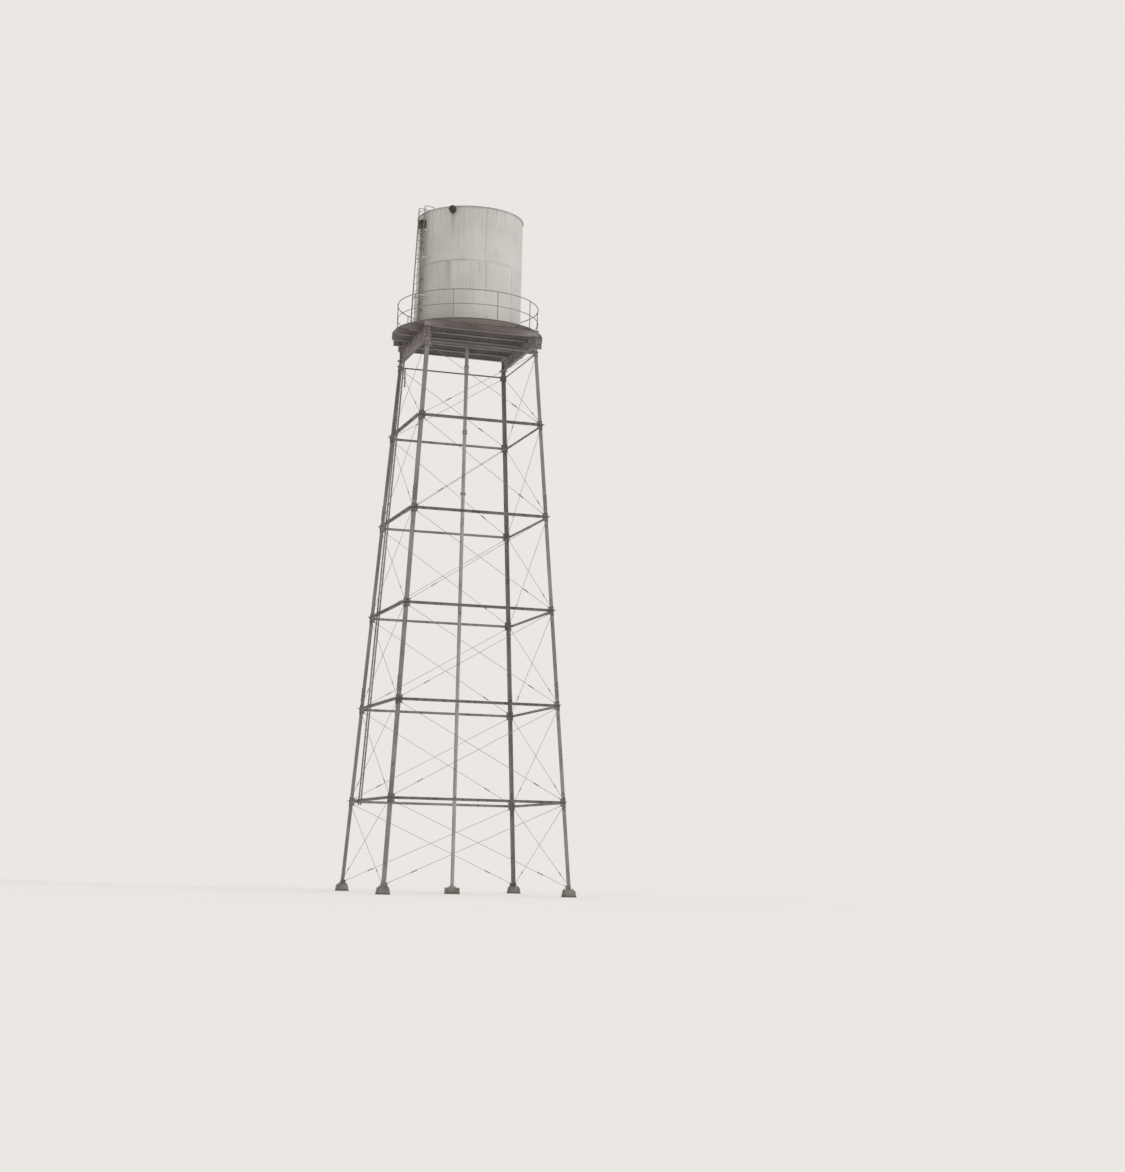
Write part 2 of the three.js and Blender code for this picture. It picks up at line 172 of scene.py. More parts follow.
@dataclass(frozen=True)
class RolledBeam:
    """The sizes of a rolled beam's section."""

    depth: float
    width: float
    flange: float
    web: float

    @property
    def outline(self) -> Outline:
        """Draws the section across and up, with rounded roots and toes.

        Returns:
            Its corners, from the left end of the foot.
        """
        half, mid, low, high = self.width / 2, self.web / 2, self.flange, self.depth - self.flange
        toe, root = self.flange * 0.45, self.flange * 0.9
        side = [
            (half, 0, 0), (half, low, toe), (mid, low, root),
            (mid, high, root), (half, high, toe), (half, self.depth, 0),
        ]
        other = [(-x, y, radius) for x, y, radius in reversed(side)]
        return rounded(other[-1:] + side + other[:-1])


def rolled_angle(size: float, thick: float) -> Outline:
    """The section of a rolled angle with its heel at the origin and its legs along both axes."""
    toe, root = (size, thick, thick * 0.5), (thick, thick, thick)
    return rounded([(0, 0, 0.001), (size, 0, 0), toe, root, (thick, size, thick * 0.5), (0, size, 0)])


# Placing


def quarter(turns: int, point: Sequence[float]) -> Point:
    """A point turned about the tower's centre line by quarter turns, anticlockwise."""
    x, y, z = point
    return ((x, y, z), (-y, x, z), (-x, -y, z), (y, -x, z))[turns % 4]


def spoke(angle: float) -> Placer:
    """Places by the distance out in a direction in degrees from +X, the distance across, and the level."""
    cos, sin = math.cos(math.radians(angle)), math.sin(math.radians(angle))
    return lambda out, across, level: (out * cos - across * sin, out * sin + across * cos, level)


def as_drawn(x: float, y: float, z: float) -> Point:
    """A place given in the tower's own x, y and z."""
    return (x, y, z)


def on_edge(place: Placer) -> Placer:
    """Places of a plate that stands on edge, from its outline's two values and then its depth."""
    return lambda out, level, across: place(out, across, level)


def around(count: int, first: float = 0.0) -> List[float]:
    """Evenly spaced directions round the centre line, in degrees."""
    return [first + number * 360 / count for number in range(count)]


def upright(section: Outline, turn: float) -> List[Point]:
    """A section of radius and level, stood up in a direction given in radians."""
    cos, sin = math.cos(turn), math.sin(turn)
    return [(radius * cos, radius * sin, level) for radius, level in section]


@dataclass(frozen=True)
class Seat:
    """A flat place on the tower, with directions across it, up it and out of it."""

    origin: Vector
    across: Vector
    up: Vector
    out: Vector

    def __call__(self, across: float, up: float, out: float) -> Point:
        """The point at these distances from the seat's origin."""
        return tuple(self.origin + self.across * across + self.up * up + self.out * out)

    @staticmethod
    def facing(origin: Sequence[float], out: Sequence[float] = UP, up: Sequence[float] = UP) -> "Seat":
        """A seat with a given outward direction.

        Args:
            origin: Where it is.
            out: The way that it faces.
            up: The way that its up should lean, unless out is upright.

        Returns:
            The seat, with its three directions square to each other.
        """
        facing = Vector(out).normalized()
        rough = Vector(up)
        if abs(facing.dot(rough.normalized())) > 0.98:
            rough = Vector((0, 1, 0))
        across = rough.cross(facing).normalized()
        return Seat(Vector(origin), across, facing.cross(across), facing)

    @staticmethod
    def outward(angle: float, out: float, across: float, level: float) -> "Seat":
        """A seat that faces away from the centre line, in a direction in degrees from +X."""
        place = spoke(angle)
        return Seat.facing(place(out, across, level), place(1, 0, 0))

    @staticmethod
    def beam(turns: int, out: float, level: float) -> "Seat":
        """A seat for a level beam along one side, by the distance outwards, up and along it."""
        axes = ((0, -out, level), (0, -1, 0), UP, (1, 0, 0))
        return Seat(*(Vector(quarter(turns, axis)) for axis in axes))


@dataclass(frozen=True)
class TowerFrame:
    """The leaning frame that every piece below the tank is set out from."""

    foot_half: float = 3.650
    head_half: float = 2.235
    head_level: float = 21.620
    panel: float = 3.750
    lowest: float = 3.605
    rings: int = 5
    leg_foot: float = 0.2603
    leg_foot_top: float = 0.2853
    leg_top: float = 21.8927
    leg_half: float = 0.075
    girder_base: float = 21.893
    joist_base: float = 22.2833
    deck_base: float = 22.523
    deck_top: float = 22.580

    @property
    def batter(self) -> float:
        """How far a leg leans in for each metre that it rises."""
        return (self.foot_half - self.head_half) / self.head_level

    @property
    def levels(self) -> List[float]:
        """Levels of the strut rings, the head ring last."""
        rings = [self.lowest + ring * self.panel for ring in range(self.rings)]
        return rings + [self.head_level]

    def half_at(self, level: float) -> float:
        """Half the distance between leg centre lines at a level."""
        return self.foot_half - self.batter * level

    def face(self, turns: int) -> Placer:
        """Places on one face, by the distance along it, out of the leg centre lines, and the level."""
        return lambda along, out, level: quarter(turns, (along, -self.half_at(level) - out, level))

    def corner(self, turns: int) -> Placer:
        """Places beside one leg's centre line, by x, y and level, turned with its corner."""
        return lambda x, y, level: quarter(turns, (x - self.half_at(level), y - self.half_at(level), level))

    def face_seat(self, turns: int, along: float, out: float, level: float) -> Seat:
        """A seat at a place on one face, which leans with the legs and faces out of the tower."""
        outwards, up = quarter(turns, (0, -1, self.batter)), quarter(turns, (0, self.batter, 1))
        return Seat.facing(self.face(turns)(along, out, level), outwards, up)


TOWER = TowerFrame()


# Shapes


class Forge:
    """Collects the faces of one piece."""

    def __init__(self) -> None:
        """Starts with nothing in it."""
        self.points: List[Point] = []
        self.faces: List[Tuple[int, ...]] = []

    def loft(self, sections: Sequence[Sequence[Point]], closed: bool = False) -> None:
        """Joins sections of equally many points, and caps both ends unless they close on themselves.

        Args:
            sections: The sections in order.
            closed: True where the last section joins the first.
        """
        base, count, total = len(self.points), len(sections[0]), len(sections)
        for section in sections:
            self.points.extend(section)
        for step in range(total if closed else total - 1):
            low = base + step * count
            high = base + (step + 1) % total * count
            for side in range(count):
                other = (side + 1) % count
                self.faces.append((low + side, low + other, high + other, high + side))
        if not closed:
            self.faces.append(tuple(reversed(range(base, base + count))))
            self.faces.append(tuple(range(base + (total - 1) * count, base + total * count)))

    def prism(self, outline: Outline, low: float, high: float, place: Placer, chamfer: float = 0.0) -> None:
        """A solid of one outline between two depths.

        Args:
            outline: Its corners, anticlockwise.
            low: Depth of its first end.
            high: Depth of its last end.
            place: Takes a point of the outline and a depth.
            chamfer: How much is taken off the edges of both ends.
        """
        if chamfer > 0:
            small = inset(outline, chamfer)
            cuts = [(small, low), (outline, low + chamfer), (outline, high - chamfer), (small, high)]
        else:
            cuts = [(outline, low), (outline, high)]
        self.loft([[place(a, b, depth) for a, b in cut] for cut, depth in cuts])

    def bar(self, one: Point, other: Point, place: Placer, chamfer: float = EDGE) -> None:
        """A flat or square bar between two opposite corners."""
        low, high = zip(*(sorted(pair) for pair in zip(one, other)))
        self.prism(rectangle(low[:2], high[:2]), low[2], high[2], place, chamfer)

    def spindle(self, stack: Sequence[Spot], sides: int, place: Placer) -> None:
        """A turned solid, from radius and distance out at each step of its profile."""
        self.loft([[place(a, b, out) for a, b in ring_of(radius, sides)] for radius, out in stack])

    def hoop(self, section: Outline, sides: int) -> None:
        """A section of radius and level, swept right round the centre line."""
        self.loft([upright(section, TURN * side / sides) for side in range(sides)], closed=True)

    def tube(self, path: Sequence[Sequence[float]], radius: float, sides: int) -> None:
        """A round bar that follows a path.

        Args:
            path: Points along its middle.
            radius: Its radius.
            sides: Number of flats.
        """
        points = [Vector(point) for point in path]
        heading = (points[1] - points[0]).normalized()
        normal = heading.orthogonal().normalized()
        sections = []
        for index, point in enumerate(points):
            before = points[max(0, index - 1)]
            after = points[min(len(points) - 1, index + 1)]
            heading = (after - before).normalized()
            normal = (normal - heading * normal.dot(heading)).normalized()
            seat = Seat(point, normal, heading.cross(normal), heading)
            sections.append([seat(a, b, 0) for a, b in ring_of(radius, sides)])
        self.loft(sections)

    def bolt(self, seat: Placer, size: float, washer: bool = True, stub: float = 0.0) -> None:
        """A hexagon head or nut on a seat.

        Args:
            seat: Where it sits; it stands out of the seat.
            size: Diameter of the bolt.
            washer: True for a round washer under it.
            stub: How far the bolt's end stands out of the nut.
        """
        low = 0.0
        if washer:
            low = size * 0.16
            self.spindle([(size * 1.05, 0), (size * 1.05, low)], 12, seat)
        wide, tall = size * 0.92, size * 0.68
        self.spindle([(wide, low), (wide, low + tall * 0.82), (wide * 0.86, low + tall)], 6, seat)
        if stub > 0:
            top = low + tall
            end = [(size * 0.5, top * 0.9), (size * 0.5, top + stub), (size * 0.4, top + stub * 1.08)]
            self.spindle(end, 8, seat)

    def rivet(self, seat: Placer, radius: float) -> None:
        """A button head on a seat."""
        self.spindle([(radius, 0), (radius * 0.86, radius * 0.4), (radius * 0.48, radius * 0.68)], 8, seat)


# Shader expressions


class Sock:
    """One output of a node, which stands in an expression like a number or a colour."""

    def __init__(self, bench: "Bench", socket: bpy.types.NodeSocket) -> None:
        """Keeps the node output and the bench that it belongs to."""
        self.bench = bench
        self.socket = socket

    def __add__(self, other: Value) -> "Sock":
        """The sum."""
        return self.bench.math("ADD", self, other)

    def __sub__(self, other: Value) -> "Sock":
        """The difference."""
        return self.bench.math("SUBTRACT", self, other)

    def __rsub__(self, other: Value) -> "Sock":
        """The difference, from the other."""
        return self.bench.math("SUBTRACT", other, self)

    def __mul__(self, other: Value) -> "Sock":
        """The product."""
        return self.bench.math("MULTIPLY", self, other)

    __radd__ = __add__
    __rmul__ = __mul__

    def step(self, low: float, high: float) -> "Sock":
        """Rises smoothly from 0 at low to 1 at high, or falls where low is above high.

        Args:
            low: Where it is 0.
            high: Where it is 1.

        Returns:
            The step.
        """
        if low > high:
            return 1 - self.step(high, low)
        settings = {"interpolation_type": "SMOOTHSTEP"}
        return self.bench.node("ShaderNodeMapRange", settings, {0: self, 1: low, 2: high})

    def band(self, middle: float, half: float) -> "Sock":
        """1 at the middle, falling smoothly to 0 at half the width to either side."""
        return self.bench.math("ABSOLUTE", self - middle).step(half, 0.0)


class Bench:
    """The nodes of one material."""

    def __init__(self, name: str) -> None:
        """Starts an empty material.

        Args:
            name: The material's name.
        """
        self.material = bpy.data.materials.new(name)
        self.material.use_nodes = True
        self.tree = self.material.node_tree
        self.tree.nodes.clear()

    def node(self, kind: str, settings: dict, inputs: dict, output: Union[int, str] = 0) -> Sock:
        """Adds a node.

        Args:
            kind: Its type.
            settings: Attributes to set first.
            inputs: Values or links, by socket name or number.
            output: Which output is wanted.

        Returns:
            That output.
        """
        made = self.tree.nodes.new(kind)
        for key, value in settings.items():
            setattr(made, key, value)
        for key, value in inputs.items():
            if isinstance(value, Sock):
                self.tree.links.new(value.socket, made.inputs[key])
            else:
                made.inputs[key].default_value = value
        return Sock(self, made.outputs[output])

    def math(self, operation: str, *values: Value) -> Sock:
        """A Math node on values."""
        return self.node("ShaderNodeMath", {"operation": operation}, dict(enumerate(values)))

    def mix(self, factor: Value, first: Value, second: Value) -> Sock:
        """A colour between two, by a factor."""
        inputs = {0: factor, 6: first, 7: second}
        return self.node("ShaderNodeMix", {"data_type": "RGBA"}, inputs, 2)

    def place(self) -> Sock:
        """The place on the object, in metres."""
        return self.node("ShaderNodeTexCoord", {}, {}, "Object")

    def axis(self, where: Sock, number: int) -> Sock:
        """One coordinate of a place: 0 for x, 1 for y, 2 for z."""
        return self.node("ShaderNodeSeparateXYZ", {}, {0: where}, number)

    def stretch(self, where: Sock, by: Sequence[float]) -> Sock:
        """A place with its axes scaled one by one."""
        return self.node("ShaderNodeVectorMath", {"operation": "MULTIPLY"}, {0: where, 1: by})

    def noise(self, where: Sock, scale: float, detail: float = 4.0, rough: float = 0.55) -> Sock:
        """Clouds of a size of about one over scale, from 0 to 1."""
        inputs = {"Vector": where, "Scale": scale, "Detail": detail, "Roughness": rough}
        return self.node("ShaderNodeTexNoise", {}, inputs)

    def chance(self, value: Sock) -> Sock:
        """A fixed random number for each whole value."""
        return self.node("ShaderNodeTexWhiteNoise", {"noise_dimensions": "1D"}, {"W": value})

    def finish(
        self, colour: Value, roughness: Value, height: Sock, depth: float, gloss: float
    ) -> bpy.types.Material:
        """Closes the material with its surface.

        Args:
            colour: Base colour.
            roughness: Roughness.
            height: Relief, from 0 to 1.
            depth: How deep the relief is, in metres.
            gloss: Strength of the shine, where 0.5 is usual.

        Returns:
            The material.
        """
        relief = self.node("ShaderNodeBump", {}, {"Distance": depth, "Height": height})
        surface = self.node("ShaderNodeBsdfPrincipled", {}, {
            "Base Color": colour,
            "Roughness": roughness,
            "Specular IOR Level": gloss,
            "Normal": relief,
        })
        output = self.tree.nodes.new("ShaderNodeOutputMaterial")
        self.tree.links.new(surface.socket, output.inputs["Surface"])
        return self.material


# Finishes


@dataclass(frozen=True)
class SteelPaint:
    """Old paint on steelwork, with runs and rust."""

    name: str
    paint: Colour
    worn: Colour
    rust: Colour = srgb(94, 81, 73)
    rusting: float = 0.5
    runs: float = 0.5
    roughness: float = 0.62
    relief: float = 0.0012
    gloss: float = 0.4

    def build(self) -> bpy.types.Material:
        """Makes the material, with more rust near the joints of the tower.

        Returns:
            The material.
        """
        bench = Bench(self.name)
        where = bench.place()
        broad = bench.noise(where, scale=0.8, detail=3.0)
        patches = bench.noise(bench.stretch(where, (6.5, 6.5, 3.2)), scale=1.0, detail=8.0, rough=0.66)
        grain = bench.noise(where, scale=55.0, detail=3.0)
        runs = bench.noise(bench.stretch(where, (30.0, 30.0, 0.9)), scale=1.0, detail=4.0)
        to_joint = bench.math("PINGPONG", bench.axis(where, 2) - TOWER.lowest, TOWER.panel / 2)
        near_joint = to_joint.step(0.7, 0.05)
        spread = patches + near_joint * 0.07 + (grain - 0.5) * 0.06
        rusted = spread.step(0.66 - self.rusting * 0.2, 0.78 - self.rusting * 0.2)
        streaked = runs.step(0.52, 0.72) * self.runs
        colour = bench.mix(broad.step(0.3, 0.7), self.paint, self.worn)
        colour = bench.mix((grain - 0.35) * 0.5, colour, self.rust)
        colour = bench.mix(streaked * 0.6, colour, self.rust)
        colour = bench.mix(rusted * 0.85, colour, self.rust)
        roughness = rusted * 0.22 + grain * 0.12 + (self.roughness - 0.06)
        return bench.finish(colour, roughness, patches * 0.6 + grain * 0.4, self.relief, self.gloss)


@dataclass(frozen=True)
class StainAndShadowRun:
    """A dark run down the tank from one place: a stain, which beside the downpipe and the tank ladder also
    holds their painted shadow.
    """

    angle: float
    top: float
    length: float
    half: float
    strength: float


@dataclass(frozen=True)
class TankPaint:
    """Chalky light paint on riveted plates, with rust that runs down from the seams."""

    name: str
    first_seam: float
    plates: int
    low: float
    high: float
    stain_and_shadow_runs: Tuple[StainAndShadowRun, ...] = ()
    radius: float = 2.16
    relief: float = 0.008
    gloss: float = 0.35
    paint: Colour = srgb(194, 191, 188)
    chalk: Colour = srgb(205, 202, 199)
    # Dirt, which in the runs beside the downpipe and the tank ladder also stands for their painted shadow
    dirt_and_shadow: Colour = srgb(142, 136, 130)
    rust: Colour = srgb(120, 108, 99)
    # The side towards which the seams are darker
    darker_seam_side: Spot = (-0.766, -0.643)

    def build(self) -> bpy.types.Material:
        """Makes the material, each plate with a tone of its own.

        Returns:
            The material.
        """
        bench = Bench(self.name)
        where = bench.place()
        x, y, level = (bench.axis(where, number) for number in range(3))
        bearing = bench.math("ARCTAN2", y, x)
        from_seam = bearing - math.radians(self.first_seam)
        plate = bench.math("FLOOR", from_seam * (self.plates / TURN) + float(self.plates))
        tone = bench.chance(plate)
        broad = bench.noise(where, scale=0.55, detail=4.0, rough=0.6)
        blotch = bench.noise(where, scale=2.6, detail=6.0, rough=0.62)
        grain = bench.noise(where, scale=60.0, detail=3.0)
        runs = bench.noise(bench.stretch(where, (9.0, 9.0, 0.22)), scale=1.0, detail=5.0, rough=0.6)
        fine_runs = bench.noise(bench.stretch(where, (34.0, 34.0, 0.5)), scale=1.0, detail=3.0)
        below_top = (self.high - level) * (1 / (self.high - self.low))
        reach = below_top.step(1.0, 0.0)
        streaked = (runs * 0.65 + fine_runs * 0.35).step(0.47, 0.7) * reach
        seam = level.band(self.high, 0.06) * 0.35 + level.band(self.low, 0.09)
        # Seams darker towards one side of the tank, the left front
        toward_darker_side = (x * self.darker_seam_side[0] + y * self.darker_seam_side[1]).step(1.2, 2.1)
        seam_darkening = seam * (blotch.step(0.4, 0.68) * 0.32 + toward_darker_side * 0.34)
        colour = bench.mix(broad.step(0.32, 0.68), self.paint, self.chalk)
        colour = bench.mix(tone * 0.16, colour, self.dirt_and_shadow)
        colour = bench.mix(streaked * 0.42, colour, self.dirt_and_shadow)
        colour = bench.mix(blotch.step(0.58, 0.74) * 0.25, colour, self.dirt_and_shadow)
        colour = bench.mix(streaked * fine_runs.step(0.5, 0.7) * 0.3, colour, self.rust)
        colour = bench.mix(seam_darkening, colour, self.rust)
        # Dark runs down the tank: stains, and beside the downpipe and the tank ladder also their painted
        # shadow
        for mark in self.stain_and_shadow_runs:
            across = (bearing - math.radians(mark.angle)) * self.radius
            down = (mark.top - level) * (1 / mark.length)
            run = across.band(0.0, mark.half) * down.step(1.0, 0.0) * down.step(-0.02, 0.02)
            colour = bench.mix(run * (runs * 0.8 + 0.4) * mark.strength, colour, self.dirt_and_shadow)
        roughness = grain * 0.1 + blotch * 0.14 + 0.5
        relief = broad * 0.8 + blotch * 0.12 + grain * 0.05
        return bench.finish(colour, roughness, relief, self.relief, self.gloss)


@dataclass(frozen=True)
class CastConcrete:
    """Weathered concrete with pits and damp stains."""

    name: str = "weathered_concrete"
    relief: float = 0.006
    gloss: float = 0.25
    pale: Colour = srgb(140, 135, 129)
    grey: Colour = srgb(112, 107, 101)
    damp: Colour = srgb(82, 76, 70)

    def build(self) -> bpy.types.Material:
        """Makes the material, damp near the ground.

        Returns:
            The material.
        """
        bench = Bench(self.name)
        where = bench.place()
        level = bench.axis(where, 2)
        broad = bench.noise(where, scale=3.0, detail=5.0, rough=0.6)
        pits = bench.noise(where, scale=42.0, detail=4.0, rough=0.6)
        lifts = bench.noise(bench.stretch(where, (2.0, 2.0, 26.0)), scale=1.0, detail=3.0)
        colour = bench.mix(broad.step(0.35, 0.65), self.pale, self.grey)
        colour = bench.mix(pits.step(0.6, 0.75) * 0.5, colour, self.damp)
        wet = (level + (broad - 0.5) * 0.14).step(0.13, 0.0)
        colour = bench.mix(wet * 0.75, colour, self.damp)
        relief = broad * 0.35 + pits.step(0.72, 0.45) * 0.4 + lifts * 0.25
        return bench.finish(colour, broad * 0.1 + 0.84, relief, self.relief, self.gloss)


@dataclass(frozen=True)
class PlankTimber:
    """Weathered deck planks, with grain along them."""

    name: str = "weathered_planks"
    first_joint: float = -2.33
    pitch: float = 0.23
    edge: float = 3.05
    relief: float = 0.0035
    gloss: float = 0.25
    # Board tones, lifted with painted light so that the shaded underside of the deck is lighter
    light: Colour = srgb(148, 142, 138)
    dark: Colour = srgb(116, 110, 106)
    crack: Colour = srgb(72, 66, 62)

    def build(self) -> bpy.types.Material:
        """Makes the material, each board with a tone of its own, and painted shade that darkens the deck's
        rim where the key light falls on it.

        Returns:
            The material.
        """
        bench = Bench(self.name)
        where = bench.place()
        x, y = bench.axis(where, 0), bench.axis(where, 1)
        board = bench.math("FLOOR", (x - self.first_joint) * (1 / self.pitch))
        # Painted shade: the outermost few centimetres of the deck, which the key light lights fully, are
        # darkened
        painted_rim_shade = bench.math("SQRT", x * x + y * y).step(self.edge, self.edge + 0.02)
        tone = bench.chance(board)
        grain = bench.noise(bench.stretch(where, (70.0, 2.2, 70.0)), scale=1.0, detail=5.0, rough=0.62)
        figure = bench.noise(bench.stretch(where, (13.0, 0.7, 13.0)), scale=1.0, detail=4.0)
        mark = bench.noise(where, scale=1.7, detail=5.0, rough=0.6)
        colour = bench.mix(figure * 0.7 + tone * 0.3, self.light, self.dark)
        colour = bench.mix(grain.step(0.56, 0.74) * 0.7, colour, self.crack)
        colour = bench.mix(mark.step(0.55, 0.72) * 0.5, colour, self.crack)
        colour = bench.mix(painted_rim_shade * 0.55, colour, self.crack)
        relief = grain * 0.7 + figure * 0.3
        return bench.finish(colour, grain * 0.12 + 0.78, relief, self.relief, self.gloss)


@dataclass(frozen=True)
class RustyIron:
    """Bare cast or wrought iron, rusted all over."""

    name: str
    rust: Colour
    scale: Colour
    relief: float = 0.0016
    gloss: float = 0.3

    def build(self) -> bpy.types.Material:
        """Makes the material.

        Returns:
            The material.
        """
        bench = Bench(self.name)
        where = bench.place()
        broad = bench.noise(where, scale=4.0, detail=5.0, rough=0.6)
        pits = bench.noise(where, scale=60.0, detail=5.0, rough=0.65)
        colour = bench.mix(broad.step(0.35, 0.65), self.rust, self.scale)
        colour = bench.mix(pits.step(0.5, 0.7) * 0.5, colour, self.scale)
        return bench.finish(colour, pits * 0.2 + 0.68, pits * 0.7 + broad * 0.3, self.relief, self.gloss)


class Finish(Enum):
    """The finishes, each with the material slot of the record that it belongs to."""

    STRUCTURE = "structure"
    RISER = "structure:riser"
    GIRDERS = "girders"
    RAILING = "girders:railing"
    JOISTS = "joists"
    LOWER_TANK = "tank_paint:lower"
    UPPER_TANK = "tank_paint:upper"
    ROOF = "tank_paint:roof"
    FITTINGS = "fittings"
    PIPEWORK = "fittings:pipework"
    FASTENERS = "structure:fasteners"
    CONCRETE = "concrete"
    PLANKS = "planks"

    @property
    def slot(self) -> str:
        """The record's slot."""
        return self.value.split(":")[0]


@dataclass
class Yard:
    """What every sub-assembly draws on: the materials, and the count of the pieces made."""

    materials: Dict[Finish, bpy.types.Material] = field(default_factory=dict)
    count: int = 0

    def stock(self) -> None:
        """Makes every material."""
        # The runs at -163 degrees, beside the downpipe and the tank ladder, are a stain with their painted
        # shadow; the others are stains
        lower = (
            StainAndShadowRun(angle=-163.0, top=25.3, length=6.0, half=0.55, strength=0.5),
            StainAndShadowRun(angle=-128.0, top=25.2, length=1.3, half=0.25, strength=0.35),
        )
        upper = (
            StainAndShadowRun(angle=-163.0, top=27.6, length=9.0, half=0.55, strength=0.5),
            StainAndShadowRun(angle=-124.1, top=27.3, length=1.5, half=0.16, strength=0.6),
        )
        recipes = {
            Finish.STRUCTURE: SteelPaint("tower_paint", srgb(142, 137, 135), srgb(120, 115, 113)),
            Finish.RISER: SteelPaint("riser_paint", srgb(174, 170, 167), srgb(152, 148, 145), rusting=0.35),
            Finish.GIRDERS: SteelPaint("girder_paint", srgb(146, 140, 138), srgb(123, 117, 115), rusting=0.3),
            # Lighter than the girders' paint: painted light that lifts the shaded underside of the deck
            Finish.JOISTS: SteelPaint("joist_paint", srgb(150, 144, 142), srgb(128, 122, 120), rusting=0.1),
            Finish.RAILING: SteelPaint(
                "railing_paint", srgb(152, 147, 141), srgb(128, 123, 117), rusting=0.35
            ),
            Finish.LOWER_TANK: TankPaint(
                "tank_lower_paint", Tank.lower_seam, Course.plates, TOWER.deck_top, Tank.seam, lower
            ),
            Finish.UPPER_TANK: TankPaint(
                "tank_upper_paint", Tank.upper_seam, Course.plates, Tank.seam, 27.46, upper
            ),
            Finish.ROOF: TankPaint("tank_roof_paint", Tank.upper_seam, Tank.sectors, 27.3, 27.9),
            Finish.FITTINGS: RustyIron("rusty_fittings", srgb(84, 74, 66), srgb(58, 52, 47)),
            Finish.PIPEWORK: RustyIron("rusty_pipe", srgb(162, 154, 147), srgb(124, 115, 108)),
            Finish.FASTENERS: RustyIron("rusty_fasteners", srgb(92, 82, 74), srgb(66, 58, 52)),
            Finish.CONCRETE: CastConcrete(),
            Finish.PLANKS: PlankTimber(),
        }
        for finish, recipe in recipes.items():
            self.materials[finish] = recipe.build()


# Sub-assemblies


@dataclass
class Assembly:
    """A sub-assembly of pieces, each with its finish."""

    yard: Yard

    def deliver(self, name: str, forge: Forge, finish: Finish, stands_for: str = "") -> None:
        """Makes one piece, which rides on the tower, from what a forge holds.

        Args:
            name: The piece's name.
            forge: Its faces.
            finish: What it is covered with.
            stands_for: The CAD node that it is shown instead of.
        """
        mesh = bpy.data.meshes.new(name)
        mesh.from_pydata(forge.points, [], forge.faces)
        shape = bmesh.new()
        shape.from_mesh(mesh)
        bmesh.ops.recalc_face_normals(shape, faces=shape.faces)
        shape.to_mesh(mesh)
        shape.free()
        mesh.shade_smooth()
        mesh.set_sharp_from_angle(angle=CREASE)
        mesh.materials.append(self.yard.materials[finish])
        piece = bpy.data.objects.new(name, mesh)
        bpy.context.scene.collection.objects.link(piece)
        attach(piece, "root")
        finish.slot
        if stands_for:
            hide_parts(stands_for)
        self.yard.count += 1
        log.info("%s: %d faces", name, len(mesh.polygons))


@dataclass
class Footings(Assembly):
    """Concrete footings under the legs and the riser."""

    base: float = 0.240
    top: float = 0.200
    height: float = 0.260
    riser_half: float = 0.250
    riser_height: float = 0.250
    corner: float = 0.022
    tiers: int = 7
    wear: float = 0.0035
    wear_places: int = 48

    def block(self, forge: Forge, place: Placer, base: float, top: float, height: float, seed: int) -> None:
        """A cast block with worn edges.

        Args:
            forge: Where it goes.
            place: Takes x, y and level.
            base: Half its width at the ground.
            top: Half its width at the top.
            height: Its height.
            seed: Seed of its unevenness.
        """
        draw = random.Random(seed)
        wear = [draw.uniform(-self.wear, 0.0) for _ in range(self.wear_places)]
        rim = self.tiers - 1
        levels = [height * step / (rim - 1) for step in range(rim - 1)]
        levels += [height - self.corner * 0.5, height]
        sections = []
        for tier, level in enumerate(levels):
            half = base + (top - base) * level / height - (self.corner * 0.45 if tier == rim else 0)
            section = []
            for index, (x, y) in enumerate(rounded_square(half, self.corner)):
                lost = wear[(index + tier * 5) % self.wear_places] / half if 0 < tier < rim else 0
                section.append(place(x * (1 + lost), y * (1 + lost), level))
            sections.append(section)
        forge.loft(sections)

    def build(self) -> None:
        """Makes the four leg footings and the riser's."""
        half = TOWER.foot_half
        for turns, corner in enumerate(CORNERS):
            forge, middle = Forge(), quarter(turns, (-half, -half, 0))
            seat = Seat.facing(middle, UP, quarter(turns, (0, 1, 0)))
            self.block(forge, seat, self.base, self.top, self.height, turns)
            self.deliver(f"footing_{corner}", forge, Finish.CONCRETE, f"pier_{corner}")
        forge = Forge()
        self.block(forge, as_drawn, self.riser_half, self.riser_half, self.riser_height, len(CORNERS))
        self.deliver("footing_riser", forge, Finish.CONCRETE, "riser_base")


